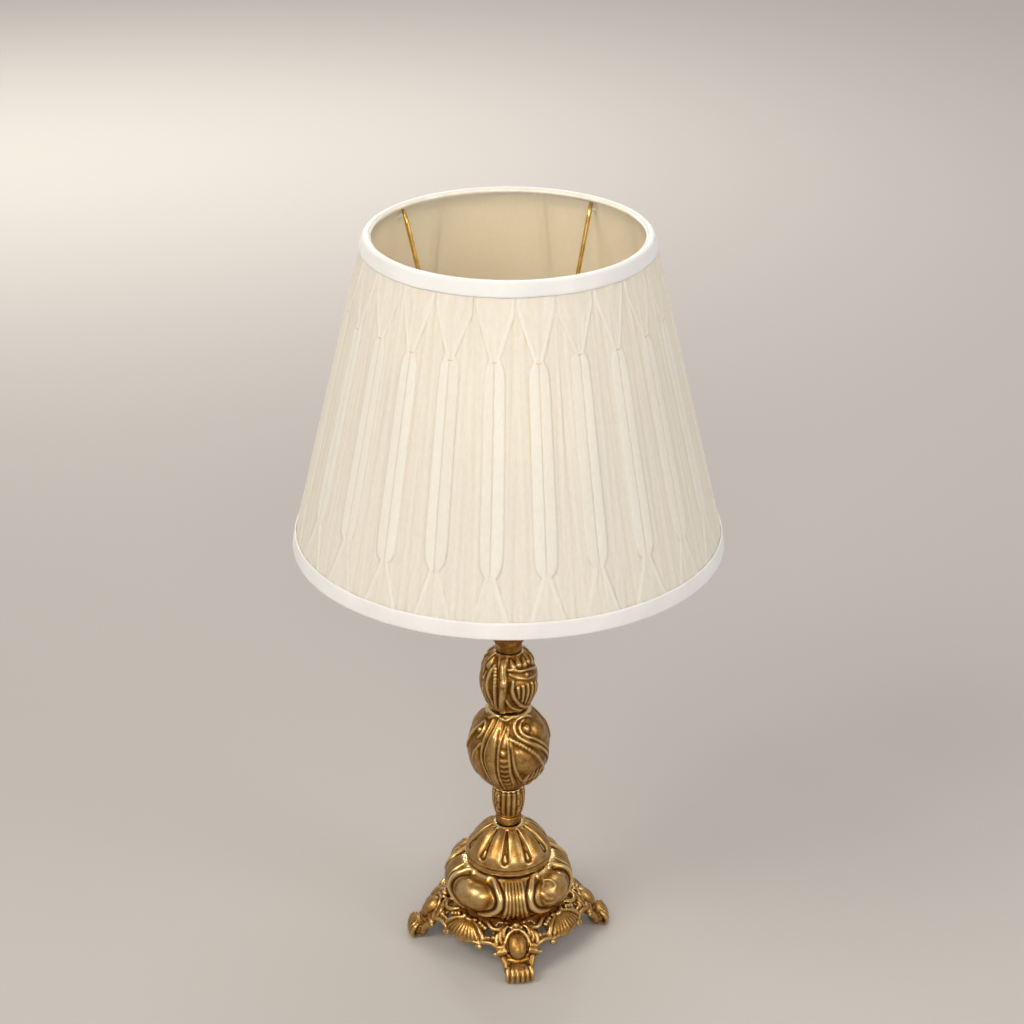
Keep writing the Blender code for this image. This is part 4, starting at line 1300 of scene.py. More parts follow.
@dataclass
class Foot:
    """The pierced foot casting: four scrolled legs on paws, with fans between them."""

    voxel: float = 0.5
    smoothing: int = 4
    plate: float = 3.0  # the skirt's wall
    neck_r: float = 34.0  # the skirt's radius under the ring
    edge_r: float = 55.0  # and at its free edge
    edge_z: float = 18.4
    ring_z: float = 33.0

    def skirt(self, bearing: float, share: float) -> tuple[float, float]:
        """Radius and height of the skirt's middle surface at a bearing and a share of the way down."""
        corner = (0.5 + 0.5 * math.cos(math.radians(FEET * bearing))) ** 2
        edge_r = self.edge_r + 4.0 * corner
        low = self.edge_z - 1.4 * corner
        radius = self.neck_r + (edge_r - self.neck_r) * share
        high = self.ring_z - 1.6
        return radius, high - (high - low) * share**1.7

    def openings(self, side: int) -> list[tuple[float, float, float, float]]:
        """The pierced holes to one side of the front foot, and the cut under its scroll."""
        near, far = (side * 13.6, 0.45, 3.9, 0.12), (side * 23.6, 0.66, 3.6, 0.13)
        return [near, far, (side * 21.5, 1.10, 8.0, 0.17)]

    def leg(self) -> bpy.types.Mesh:
        """One leg over the front foot."""
        wax = Wax()
        wax.plate(-27, 27, 120, self.skirt, self.openings(1) + self.openings(-1), self.plate)
        # The leg's body, from under the ring down to the ankle, with broad flanks beside the egg.
        wax.bar(
            ((0, 36, 27.5), (0, 46, 24.6), (0, 52, 19.6), (0, 58, 13.6), (0, 63, 8.6), (0, 66, 6.6)),
            (4.8, 5.6, 6, 5.8, 5.6, 5.6),
        )
        # The egg in its rim, with a lobed crown above.
        wax.lump(0, 57.6, 21.4, (6.8, 5.6, 10), -42)
        for side in (-1, 1):
            wax.lump(side * 7.4, 54.6, 20.4, (4.2, 3.4, 8.4), -40)
            wax.bar(
                (
                    (0, 50, 31.2), (side * 5.6, 51.8, 29.2), (side * 9, 55.6, 23.4), (side * 8, 60, 16.8),
                    (0, 63.2, 13.2),
                ),
                (1.2, 1.4, 1.5, 1.4, 1.2),
            )
            wax.lump(side * 3.6, 47.8, 31.4, (2.2, 2.5, 1.7), -20)
            # Acanthus ridges that curl back on either side of the neck.
            for i in range(3):
                a, r, z = 6.4 + 2.6 * i, 46.2 + 1.8 * i, 32 - 1.5 * i
                path = (
                    (side * a, r, z), (side * (a + 3.4), r + 3, z - 1.4),
                    (side * (a + 4), r + 6.2, z - 5.4), (side * (a + 1.4), r + 8.6, z - 9),
                )
                wax.bar(path, (0.9, 1.6, 1.7, 0.8))
            # The spur, a short curled leaf.
            wax.bar(
                (
                    (side * 8, 58.2, 18.6), (side * 12.2, 59.6, 17.4), (side * 15.2, 60.8, 16.4),
                    (side * 16.8, 61.6, 17.4),
                ),
                (3.8, 3.2, 2, 0.6),
            )
            wax.bar(
                ((side * 9.6, 57, 21.6), (side * 13, 58.4, 20.8), (side * 15, 59.4, 19)), (2.2, 1.9, 0.8)
            )
            # The double ridge of the side scroll, on the plate's edge.
            for inner, size in ((0, 1.75), (3, 1.5)):
                wax.bar(
                    (
                        (side * 11.5, 58 - inner, 17.6 + inner * 0.7),
                        (side * 14.5, 57.8 - inner, 20.6 + inner * 0.8),
                        (side * 19.5, 56.4 - inner, 22.4 + inner * 0.7),
                        (side * 25.5, 55.4 - inner, 21.6 + inner * 0.7),
                        (side * 29.6, 55.6 - inner, 19.4 + inner * 0.6),
                        (side * 30.6, 56.4 - inner, 17 + inner * 0.6),
                        (side * 28.2, 56.8 - inner, 16.4 + inner * 0.6),
                    ),
                    (size * 0.8, size, size, size, size, size * 0.9, size * 0.7),
                )
            wax.lump(side * 28.4, 56.6, 17.8, (2.3, 2.1, 2.1))
            # Leaves and buds on the skirt.
            wax.bar(
                ((side * 16, 50.6, 26.6), (side * 18.2, 53.4, 25.2), (side * 19.6, 54.8, 23.2)),
                (1.2, 2.4, 0.8),
            )
            wax.lump(side * 9, 43.4, 32, (1.9, 1.9, 1.6))
            # The S scroll under the drum.
            wax.bar(
                (
                    (side * 7.4, 42.4, 32.2),
                    (side * 12, 47.6, 30.6),
                    (side * 18.5, 48.8, 29.6),
                    (side * 24.6, 45.8, 31),
                    (side * 27, 42.8, 32.2),
                ),
                (1.2, 1.8, 1.9, 1.8, 1.2),
            )
        wax.lump(0, 46.6, 32.8, (2.8, 3.4, 2.2), -20)
        wax.lump(0, 50.6, 31.2, (3.2, 1.8, 1.6), -40)
        # The band under the egg, and the ribbed cloak that flares down to the paw.
        wax.bar(((-7.4, 62, 13.2), (0, 64.4, 13.4), (7.4, 62, 13.2)), (1.2, 1.5, 1.2))
        for side in (-1, 1):
            wax.bar(
                (
                    (side * 11.5, 58, 16.6), (side * 9.6, 61.5, 12.6), (side * 7.6, 64.6, 8.6),
                    (side * 7.2, 66, 4.6),
                ),
                (2.4, 2.7, 2.8, 2.6),
            )
        for i in range(-4, 5):
            wax.bar(
                (
                    (i * 2, 62.2 - 0.25 * abs(i), 13.8), (i * 2, 65.4 - 0.3 * abs(i), 10.8),
                    (i * 1.9, 68.6 - 0.4 * abs(i), 9.4),
                ),
                (0.9, 1.25, 1),
            )
        # The paw: a round fist with short knuckles.
        wax.lump(0, 67, 6.4, (9.9, 7.6, 7))
        wax.lump(0, 67.2, 3, (9.6, 7, 3.4))
        for i in range(6):
            lean = -7 + 2.8 * i
            back = 0.020 * lean**2
            wax.bar(
                (
                    (lean * 0.9, 69.6 - back, 11.6), (lean, 72 - back, 9.8), (lean, 74 - back, 6.6),
                    (lean, 74.2 - back, 3.4), (lean, 73 - back, 1.4),
                ),
                (1.1, 1.6, 1.75, 1.75, 1.4),
            )
        return self.settled(wax.cast(self.voxel, self.smoothing))

    def side(self) -> bpy.types.Mesh:
        """One side between two legs, built over the front foot's bearing plus 45 degrees."""
        wax = Wax()
        middle = 45
        cuts = self.openings(1) + [(QUARTER - a, u, da, du) for a, u, da, du in self.openings(1)]
        wax.plate(22, 68, 96, self.skirt, cuts, self.plate)
        # The fan, its ribs spreading from a bud under the drum over a dished shell.
        wax.lump(middle, 51.6, 23.4, (12.4, 3.2, 8.2), -48)
        for i in range(-4, 5):
            spread = i / 4
            flat = 1 - 0.35 * spread**2
            wax.bar(
                (
                    (middle + 0.9 * i, 46.6, 30.6),
                    (middle + 2.3 * i, 51.2, 28 * flat + 26.4 * (1 - flat)),
                    (middle + 3.3 * i, 55 - 0.8 * abs(spread), 23.2),
                    (middle + 3.7 * i, 57 - 1.8 * abs(spread), 18 + 0.8 * abs(spread)),
                ),
                (0.8, 1.3, 1.75, 1.2),
            )
        wax.lump(middle, 46.4, 31.2, (3.2, 2.8, 2), -20)
        for side in (-1, 1):
            wax.lump(middle + side * 6, 45.2, 31.4, (2.1, 2, 1.6))
            wax.bar(
                (
                    (middle + side * 16.5, 54.8, 19.4),
                    (middle + side * 18, 54.2, 23),
                    (middle + side * 15.4, 52, 26.8),
                    (middle + side * 10.6, 48.8, 29.6),
                    (middle + side * 5.4, 46.6, 31),
                ),
                (1.4, 1.9, 1.9, 1.5, 1),
            )
            for i in range(3):
                wax.lump(middle + side * (18 - 2.8 * i), 49 - 1.2 * i, 29.6 + 0.8 * i, (1.8, 1.8, 1.6))
            wax.lump(middle + side * 15.4, 56, 17.6, (2.2, 2, 2))
        return self.settled(wax.cast(self.voxel, self.smoothing))

    def ring(self) -> bmesh.types.BMesh:
        """The ring that the drum stands on."""
        return turned(
            ((27.4, 27.3), (40.6, 27.3), (41.0, 28.0), (41.0, 32.2), (40.4, 33.0), (27.4, 33.0)), 160
        )

    def settled(self, mesh: bpy.types.Mesh) -> bpy.types.Mesh:
        """The mesh kept above the table and below the drum, with its hollows marked."""
        under_drum, unevenness = 41.5, 0.06
        co = places(mesh)
        co[:, 2] = np.maximum(co[:, 2], 0.0)
        under = np.hypot(co[:, 0], co[:, 1]) < under_drum * MM
        co[under, 2] = np.minimum(co[under, 2], self.ring_z * MM)
        co += unevenness * MM * np.array([[rough(Vector(p), 2.2, s) for s in (1.0, 5.0, 9.0)] for p in co])
        co[:, 2] = np.maximum(co[:, 2], 0.0)
        put(mesh, co)
        mesh.shade_smooth()
        shade_hollows(mesh, ((4, 0.16), (16, 0.5), (60, 1.4)))
        return mesh

    def build(self) -> None:
        """Casts a leg and a side once, and sets four of each round the ring."""
        pieces = [finished("foot_ring", self.ring(), "stand", ANTIQUE_TURNED)]
        for kind, mesh in (("leg", self.leg()), ("side", self.side())):
            for index in range(FEET):
                copy = mesh.copy()
                copy.transform(Matrix.Rotation(math.radians(QUARTER * index), 4, "Z"))
                pieces.append(dressed(f"foot_{kind}_{index}", copy, "stand", ANTIQUE))
        for piece in pieces:
            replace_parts(piece, "foot_casting")


# ---------------------------------------------------------------- shade


@dataclass
class Shade:
    """The empire shade: a smocked cover and a stretched liner on a wire frame, bound with folded tape."""

    units: int = 24
    first_unit: float = -11.5  # bearing of a unit's middle
    top_stitch: float = 498.0
    low_stitch: float = 365.0
    fold_width: float = 7.6
    fold_rise: float = 0.72
    binding: float = 4.0  # from the shade's outside to the frame's wires
    wander: float = 1.6  # how far a stitch strays up or down
    first_arm: float = -45.0
    first_rib: float = 22.5
    slot: float = 1.9  # half the gap left in the cloth for an arm
    arms: int = 4
    ribs: int = 8
    low: float = field(init=False)
    high: float = field(init=False)
    top_r: float = field(init=False)
    foot_r: float = field(init=False)

    def __post_init__(self) -> None:
        """Reads the shade's size off the frame."""
        self.low, _, self.foot_r = extent("bottom_trim")
        _, self.high, self.top_r = extent("top_trim")

    def wall(self, height: float | Array) -> float | Array:
        """Radius of the frame's wires at a height."""
        flare = (self.foot_r - self.top_r) / (self.high - self.low)
        return self.top_r - self.binding + flare * (self.high - height)

    def stray(self, unit: int) -> float:
        """How far up a unit's stitches lie from the row."""
        return self.wander * math.sin(2.3 * unit)

    def lean(self, height: float, unit: int) -> float:
        """How far a unit's middle bows to one side, most of all half-way up."""
        most = 0.7
        return most * math.sin(1.7 * unit + 0.9) * math.sin(
            math.pi * (height - self.low) / (self.high - self.low)
        )

    def fold_lines(self, height: float, half: float, unit: int) -> tuple[float, float]:
        """How far a fold's two edges lie from its unit's middle.

        Args:
            height: the height.
            half: half a unit's width there, in millimetres.
            unit: which unit it is.

        Returns:
            The inner and the outer edge, in millimetres.
        """
        if height > self.top_stitch:
            t = (height - self.top_stitch) / (self.high - self.top_stitch)
            outer = 2.6 + (half * 0.985 - 2.6) * min(1.0, t * (1.5 + 0.2 * math.sin(3.7 * unit)))
            return max(0.2, outer - 2.3), outer
        if height < self.low_stitch:
            t = (self.low_stitch - height) / (self.low_stitch - self.low)
            outer = 2.8 + (half * 0.86 - 2.8) * min(1.0, t * (1.0 + 0.12 * math.sin(2.9 * unit)))
            return max(0.2, outer - 2.7), outer
        # Between the stitches the two folds lie side by side, a little pinched at the stitches.
        t = (height - self.low_stitch) / (self.top_stitch - self.low_stitch)
        away = min(t, 1 - t)
        full = min(1.0, 0.62 + 0.28 * min(1.0, away / 0.04) + 0.7 * away)
        return 0.2, self.fold_width * full * (0.84 + 0.16 * (1 - t))

    def cover(self) -> bpy.types.Object:
        """The pleated cover. Its pleats are pressed, so they are laid out as folds and not simulated."""
        inner_cols, fold_cols, panel_cols = 4, 5, 8
        half_cols = inner_cols + fold_cols + panel_cols
        inset, end_rows, middle_rows, gap = 2.6, 22, 28, 0.12
        low, high = self.low + inset, self.high - inset
        rows = [low + (self.low_stitch - low) * i / end_rows for i in range(end_rows)]
        rows += [
            self.low_stitch + (self.top_stitch - self.low_stitch) * i / middle_rows
            for i in range(middle_rows)
        ]
        rows += [self.top_stitch + (high - self.top_stitch) * i / end_rows for i in range(end_rows + 1)]
        shape = turned(
            [(float(self.wall(z)) + 1.9, z) for z in rows], self.units * half_cols * 2, closed=False
        )
        bmesh.ops.recalc_face_normals(shape, faces=shape.faces)
        mesh = bpy.data.meshes.new("cover")
        shape.to_mesh(mesh)
        co = places(mesh)
        bearing = np.degrees(np.arctan2(co[:, 0], -co[:, 1]))
        unit_angle = 360.0 / self.units
        offset = (bearing - self.first_unit) / unit_angle
        unit = np.round(offset).astype(int)
        column = np.round((offset - unit) * 2 * half_cols).astype(int)
        proud = np.zeros(len(co))
        for i, (place, k, c) in enumerate(zip(co, unit, column)):
            height = place[2] / MM
            half = math.radians(unit_angle / 2) * float(self.wall(height))
            level = height + self.stray(k)
            inner, outer = self.fold_lines(level, half, k)
            outer *= 1.0 + 0.07 * math.sin(5.1 * k + (1 if c > 0 else 4))
            outer = min(outer, half - 0.9)
            inner = min(inner, outer - 0.8)
            side, step = (1 if c >= 0 else -1), abs(c)
            if step <= inner_cols:
                across = inner * step / inner_cols
            elif step <= inner_cols + fold_cols:
                t = (step - inner_cols) / fold_cols
                across = inner + (outer - inner) * (0.5 - 0.5 * math.cos(math.pi * t))
            else:
                share = (step - inner_cols - fold_cols - 1) / (panel_cols - 1)
                across = outer + gap + (half - outer - gap) * share
            rise, tone = self.relief(across, inner, outer, half, level, k, side)
            middle = math.radians(self.first_unit + k * unit_angle)
            turn = middle + (side * across + self.lean(height, k)) / float(self.wall(height))
            # The cloth lies flat under the tapes, and stands free of the wires between them.
            near = min(height - self.low, self.high - height)
            free = min(1.0, max(0.0, (near - 3.0) / 5.0))
            flare = 0.9 * (self.high - height) / (self.high - self.low)
            radius = float(self.wall(height)) + 1.4 + flare * free + 0.2 * free + rise * (0.3 + 0.7 * free)
            co[i] = (radius * MM * math.sin(turn), -radius * MM * math.cos(turn), place[2])
            # The stored tone carries the painted shadows and highlights of the folds and gathers.
            proud[i] = tone
        put(mesh, co)
        store(mesh, "proud", proud)
        shape.clear()
        shape.from_mesh(mesh)
        thickened(shape, 0.35)
        piece = finished("shade_cover_pleated", shape, "shade", PLEATS)
        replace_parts(piece, "shade_cover")
        return piece

    def relief(
        self, across: float, inner: float, outer: float, half: float, height: float, unit: int, side: int
    ) -> tuple[float, float]:
        """How far the cloth stands out at a place in a unit, and its tone there, which paints shadow and
        highlight onto the folds and gathers.

        Args:
            across: distance from the unit's middle.
            inner: the fold's inner edge.
            outer: the fold's outer edge.
            half: half the unit's width.
            height: the height.
            unit: which unit it is, so that no two are quite alike.
            side: which fold of the two.

        Returns:
            The rise in millimetres and the tone from 0, in a painted crease shadow, to 1, on a fold.
        """
        between = self.low_stitch < height < self.top_stitch
        if inner - 0.01 <= across <= outer + 0.01:
            t = (across - inner) / max(outer - inner, 0.1)
            crown = math.sin(math.pi * min(1.0, 0.16 + 0.74 * t)) ** 0.4
            rise = self.fold_rise * crown * (1.0 if between else 0.8)
            # The fold's middle is lighter for its double cloth; its two edges are painted darker as shade.
            tone = 0.78 + 0.12 * math.sin(2.7 * unit + side) if 0.08 < t < 0.95 else 0.55
            return rise, tone
        if across < inner:
            # Between the stitches, the narrow gap between the two folds is painted darker as shadow.
            if between:
                return 0.3, 0.36
            # The cloth inside the V lies in soft gathers, painted lighter on their crests and darker in
            # their troughs.
            gather = 0.20 * math.sin(across * 1.7 + unit) + 0.14 * math.sin(across * 0.8 + 2 * unit + side)
            return 0.30 + gather, 0.55 + 0.7 * gather
        t = (across - outer) / max(half - outer, 0.3)
        # A painted shadow line darkens the panel beside the fold's crease, and its gathers are painted
        # lighter on their crests and darker in their troughs.
        crease = math.exp(-(((across - outer) / 0.8) ** 2))
        wave = 0.02 * height
        gather = 0.19 * math.sin(across * 1.5 + 1.3 * unit + side + 0.6 * math.sin(wave + unit))
        gather += 0.13 * math.sin(across * 0.7 + 2.1 * unit + wave)
        return 0.18 * (1 - t) + gather * (1 - crease), 0.5 + 0.9 * gather - 0.18 * crease

    def stitches(self) -> None:
        """The bar of thread that pinches each pair of folds, top and bottom."""
        # Each point of a bar: across, out from the wall and up, in millimetres.
        loop = ((-2.1, 0.1, 0.2), (-1.3, 0.95, 0.0), (0.0, 0.75, -0.2), (1.3, 0.95, 0.0), (2.1, 0.1, 0.2))
        thread = (0.22, 0.3, 0.32, 0.3, 0.22)
        for row, height in (("top", self.top_stitch), ("low", self.low_stitch)):
            shape = bmesh.new()
            for k in range(self.units):
                place = height - self.stray(k)
                radius = float(self.wall(place)) + 1.9
                middle = self.first_unit + 360.0 * k / self.units + math.degrees(
                    self.lean(place, k) / radius
                )
                path = [
                    polar(radius + lift, middle + math.degrees(x / radius), place + dip)
                    for x, lift, dip in loop
                ]
                bar = swept([tuple(p) for p in path], [size * MM for size in thread], 6)
                shape.from_mesh(bar)
                bpy.data.meshes.remove(bar)
            finished(f"shade_stitches_{row}", shape, "shade", THREAD)

    def liner(self) -> bpy.types.Object:
        """The liner, stretched inside the wires and tented a little over each rib."""
        steps, rows, inset = 240, 48, 1.1
        low, high = self.low + inset, self.high - inset
        shape = turned(
            [(float(self.wall(z)) - 1.6, z) for z in np.linspace(low, high, rows)], steps, closed=False
        )
        bmesh.ops.recalc_face_normals(shape, faces=shape.faces)
        slot_top = 537.0
        gone = []
        for face in shape.faces:
            middle = face.calc_center_median()
            off = off_nearest(bearing_of(middle), self.first_arm, self.arms)
            if middle.z / MM > slot_top and math.radians(off) * middle.xy.length / MM < self.slot:
                gone.append(face)
        for corner in shape.verts:
            off = off_nearest(bearing_of(corner.co), self.first_rib, self.ribs)
            away = math.radians(off) * corner.co.xy.length / MM
            share = (corner.co.z / MM - self.low) / (self.high - self.low)
            slack = 0.9 * math.sin(math.pi * min(1.0, away / 30.0)) * math.sin(math.pi * share)
            ripple = 0.30 * math.exp(
                -((away / 7.0) ** 2)
            ) * math.cos(away * 1.3) + 0.25 * rough(corner.co, 22.0, 3.0)
            radius = corner.co.xy.length / MM - 0.4 + max(-0.9, -slack + ripple) * 0.6
            pushed(corner, radius, math.atan2(corner.co.x, -corner.co.y))
        bmesh.ops.delete(shape, geom=gone, context="FACES")
        thickened(shape, 0.25)
        piece = finished("shade_liner_stretched", shape, "shade", LINING)
        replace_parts(piece, "shade_liner")
        return piece

    def trim(self, name: str, edge: float, inwards: int) -> bpy.types.Object:
        """A tape folded over one edge of the shade.

        Args:
            name: the CAD node that it replaces.
            edge: the height of the shade's edge there.
            inwards: 1 if the shade lies above the edge and -1 if below.

        Returns:
            The piece.
        """
        free = 10.2 if inwards < 0 else 12.2
        lift = 0.0 if inwards < 0 else 1.1
        profile = [
            (2.5 + lift, free + 0.3), (3.0 + lift, free - 0.2), (3.1 + lift, free - 1.6), (2.8 + lift, 6.0)
        ]
        profile += [
            (2.5 + lift, 3.0), (2.2 + lift, 1.4), (1.2, 0.6), (0.4, 0.4), (-0.4, 0.4), (-1.1, 0.6),
            (-1.8, 1.4),
        ]
        profile += [(-2.1, 3.0), (-2.15, 5.0)]
        line = evenly([(a, b) for a, b in flowing(profile, 4)], 0.9)
        loop = [
            (float(self.wall(edge + inwards * depth)) + out, edge + inwards * depth) for out, depth in line
        ]
        shape = turned(loop, 360, closed=False)
        bmesh.ops.recalc_face_normals(shape, faces=shape.faces)
        gone = []
        if inwards < 0:
            for face in shape.faces:
                middle = face.calc_center_median()
                off = off_nearest(bearing_of(middle), self.first_arm, self.arms)
                radius = middle.xy.length / MM
                inside = radius < float(self.wall(middle.z / MM)) - 0.5
                beside = math.radians(off) * middle.xy.length / MM < self.slot
                if inside and edge - middle.z / MM > 2.2 and beside:
                    gone.append(face)
        for corner in shape.verts:
            depth = abs(corner.co.z / MM - edge)
            outside = corner.co.xy.length / MM > float(self.wall(corner.co.z / MM)) + 1.0
            puff = 0.22 * rough(corner.co, 9.0, 2.0) + 0.10 * rough(corner.co, 3.5, 6.0)
            # The tape's free edge wanders a little where it was turned by hand.
            if outside and depth > free - 2.5:
                corner.co.z += inwards * 0.4 * MM * rough(corner.co, 16.0, 8.0)
            radius = corner.co.xy.length / MM + (puff if depth > 1.0 else 0.3 * puff)
            pushed(corner, radius, math.atan2(corner.co.x, -corner.co.y))
        bmesh.ops.delete(shape, geom=gone, context="FACES")
        bmesh.ops.solidify(shape, geom=shape.faces[:], thickness=0.35 * MM)
        piece = finished(f"{name}_folded", shape, "shade", TAPE)
        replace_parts(piece, name)
        return piece

    def wires(self) -> None:
        """The rings, ribs and arms as round drawn wire."""
        for name in ("shade_top_ring", "shade_bottom_ring"):
            low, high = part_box(name)
            thick, middle = (high.z - low.z) / 2 / MM, (high.z + low.z) / 2 / MM
            radius = high.x / MM - thick
            round_wire = np.linspace(0, 2 * math.pi, 12, endpoint=False)
            ring = turned(
                [(radius + thick * math.cos(a), middle + thick * math.sin(a)) for a in round_wire], 180
            )
            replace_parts(finished(f"{name}_drawn", ring, "shade", ENAMEL), name)
        rib_r, arm_r = 1.2, 1.5
        low_z, high_z, _ = extent("shade_rib_0")
        for i in range(self.ribs):
            bearing = self.first_rib + 360.0 / self.ribs * i + QUARTER
            path = [polar(float(self.wall(z)), bearing, z) for z in np.linspace(low_z, high_z, 8)]
            mesh = swept([tuple(p) for p in path], [rib_r * MM] * len(path), 12)
            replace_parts(dressed(f"shade_rib_{i}_drawn", mesh, "shade", ENAMEL), f"shade_rib_{i}")
        for i in range(self.arms):
            bearing = 45.0 + QUARTER * i + QUARTER
            # (radius, height) at the hub and under the upper ring.
            start, end = (27.5, 332.6), (90.4, 543.1)
            shares = np.linspace(0, 1, 24)
            path = [
                polar(
                    start[0] + (end[0] - start[0]) * t, bearing, start[1] + (end[1] - start[1]) * t
                ) for t in shares
            ]
            sizes = [arm_r * MM * (1.0 if 0.03 < t < 0.985 else 0.9) for t in shares]
            mesh = swept([tuple(p) for p in path], sizes, 14)
            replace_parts(dressed(f"shade_arm_{i}_drawn", mesh, "shade", ROD), f"shade_arm_{i}")

    def build(self) -> None:
        """Builds the cloth, the tapes and the frame."""
        cover = self.cover()
        self.stitches()
        self.wires()
        liner = self.liner()
        self.trim("top_trim", self.high, -1)
        self.trim("bottom_trim", self.low, 1)
        log.info("shade bound round %s", cover.name)


# ---------------------------------------------------------------- fittings


@dataclass
class Fittings:
    """The lampholder, its switch, the bulb and the plain turned parts of the stand."""

    thread_pitch: float = 3.63

    def ring(
        self, name: str, body: str, loop: Sequence[Point], steps: int, finish: Finish
    ) -> bpy.types.Object:
        """A turned part that stands for the CAD node of the same name."""
        piece = finished(f"{name}_turned", turned(loop, steps), body, finish)
        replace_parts(piece, name)
        return piece

    def waved(
        self,
        name: str,
        body: str,
        loop: Sequence[Point],
        steps: int,
        finish: Finish,
        wave: Callable[[float, float, float], float],
    ) -> None:
        """A turned part whose outside is worked by a tool.

        Args:
            name: the CAD node that it replaces.
            body: the body that it rides on.
            loop: its outline.
            steps: how many facets go round.
            finish: its material.
            wave: gives how far to move a point outwards, from its radius, bearing in radians and height.
        """
        shape = turned(loop, steps)
        for corner in shape.verts:
            radius, turn = corner.co.xy.length / MM, math.atan2(corner.co.x, -corner.co.y)
            pushed(corner, radius + wave(radius, turn, corner.co.z / MM), turn)
        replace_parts(finished(f"{name}_turned", shape, body, finish), name)

    def stand_parts(self) -> None:
        """The collar, the drip cup and the sleeve."""
        foot, top, reach = extent("collar_ring")
        half = (top - foot) / 2
        foot -= JOINT
        half += JOINT / 2
        seat = 7.5
        bead = [
            (seat + (reach - seat) * math.sin(a) ** 0.7, foot + half - half * math.cos(a))
            for a in np.linspace(0, math.pi, 24)
        ]
        self.ring("collar_ring", "stand", [*bead, (BORE, top), (BORE, foot)], 96, ANTIQUE_TURNED)
        foot = extent("drip_cup")[0]
        cup = flowing(
            (
                (9.6, -JOINT), (9.6, 4.0), (10.8, 6.6), (13.3, 10.0), (17.4, 15.6), (19.6, 19.6),
                (20.0, 21.0), (19.6, 22.0),
            ),
            5,
        )
        inside = [(18.6, 21.6), (15.8, 17.4), (11.3, 12.0), (11.3, 10.0), (BORE, 10.0), (BORE, -JOINT)]
        self.ring("drip_cup", "stand", [(r, z + foot) for r, z in [*cup, *inside]], 120, ANTIQUE_TURNED)
        foot, top, reach = extent("sleeve_tube")
        loop = [
            (reach - 0.3, foot), (reach, foot + 0.3),
            *((reach, z) for z in np.linspace(foot + 1, top - 1, 12)), (reach, top - 0.3),
            (reach - 0.3, top),
        ]
        loop += [(BORE, top), (BORE, top - 1.0), (reach - 1.0, top - 1.0), (reach - 1.0, foot)]
        self.ring("sleeve_tube", "stand", loop, 96, ANTIQUE_TURNED)

    def lampholder(self) -> None:
        """The barrel with its outside thread, the knurled clamp ring and the smooth hub."""
        foot, top, reach = extent("holder_barrel")
        flange = extent("shade_hub")[0] - 0.3
        tube_r = reach - 5.3
        outside = [
            (tube_r - 0.2, foot), (tube_r, foot + 0.2), (tube_r, flange - 2.0), (reach - 0.5, flange - 2.0),
            (reach, flange - 1.5), (reach, flange - 0.5), (reach - 0.5, flange),
        ]
        threaded = [(tube_r, z) for z in np.arange(flange, top - 0.4, 0.45)] + [(tube_r - 0.3, top)]
        loop = [*outside, *threaded, (tube_r - 1.3, top), (tube_r - 1.3, foot)]
        pitch = 2.2

        def thread(radius: float, turn: float, height: float) -> float:
            """A shallow rolled thread above the flange."""
            plain = height <= flange + 0.4 or height > top - 1.0
            if plain or radius < tube_r - 0.1 or radius > tube_r + 0.1:
                return 0.0
            return -0.28 + 0.28 * math.cos(2 * math.pi * height / pitch - turn)

        self.waved("holder_barrel", "stand", loop, 144, BRIGHT, thread)
        foot, top, reach = extent("clamp_ring")
        outside = [
            (reach - 0.8, foot), (reach - 0.2, foot + 0.5),
            *((reach, z) for z in np.linspace(foot + 0.9, top - 0.9, 6)), (reach - 0.2, top - 0.5),
            (reach - 0.8, top),
        ]
        loop = [*outside, (19.5, top), (19.5, foot)]

        def knurl(radius: float, turn: float, _height: float) -> float:
            """Straight knurling round the ring's edge."""
            deep, half_waves = 0.45, 36
            return -deep * abs(math.sin(half_waves * turn)) if radius > reach - 0.1 else 0.0

        self.waved("clamp_ring", "clamp_ring", loop, 432, BRIGHT, knurl)
        foot, top, reach = extent("shade_hub")
        loop = [
            (reach - 0.4, foot), (reach, foot + 0.4), (reach, top - 0.4), (reach - 0.4, top), (21.0, top),
            (20.6, top - 0.4), (20.6, foot + 0.4), (21.0, foot),
        ]
        self.ring("shade_hub", "shade", loop, 120, BRIGHT)

    def switch(self) -> None:
        """The key, a box with its corners and edges rounded."""
        low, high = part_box("switch_key")
        shape = bmesh.new()
        bmesh.ops.create_cube(shape, size=1.0)
        size = high - low
        place = Matrix.Translation((low + high) / 2) @ Matrix.Diagonal((*size, 1.0))
        bmesh.ops.transform(shape, matrix=place, verts=shape.verts)
        corner_r, edge_r = 3.2 * MM, 0.5 * MM
        long_edges = [e for e in shape.edges if abs((e.verts[0].co - e.verts[1].co).z) > 0.5 * size.z]
        bmesh.ops.bevel(
            shape, geom=long_edges, offset=corner_r, segments=6, profile=0.5, material=-1, affect="EDGES"
        )
        bmesh.ops.bevel(
            shape, geom=shape.edges[:], offset=edge_r, segments=3, profile=0.5, material=-1, affect="EDGES"
        )
        piece = finished("switch_key_pressed", shape, "switch", BRIGHT)
        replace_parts(piece, "switch_key")

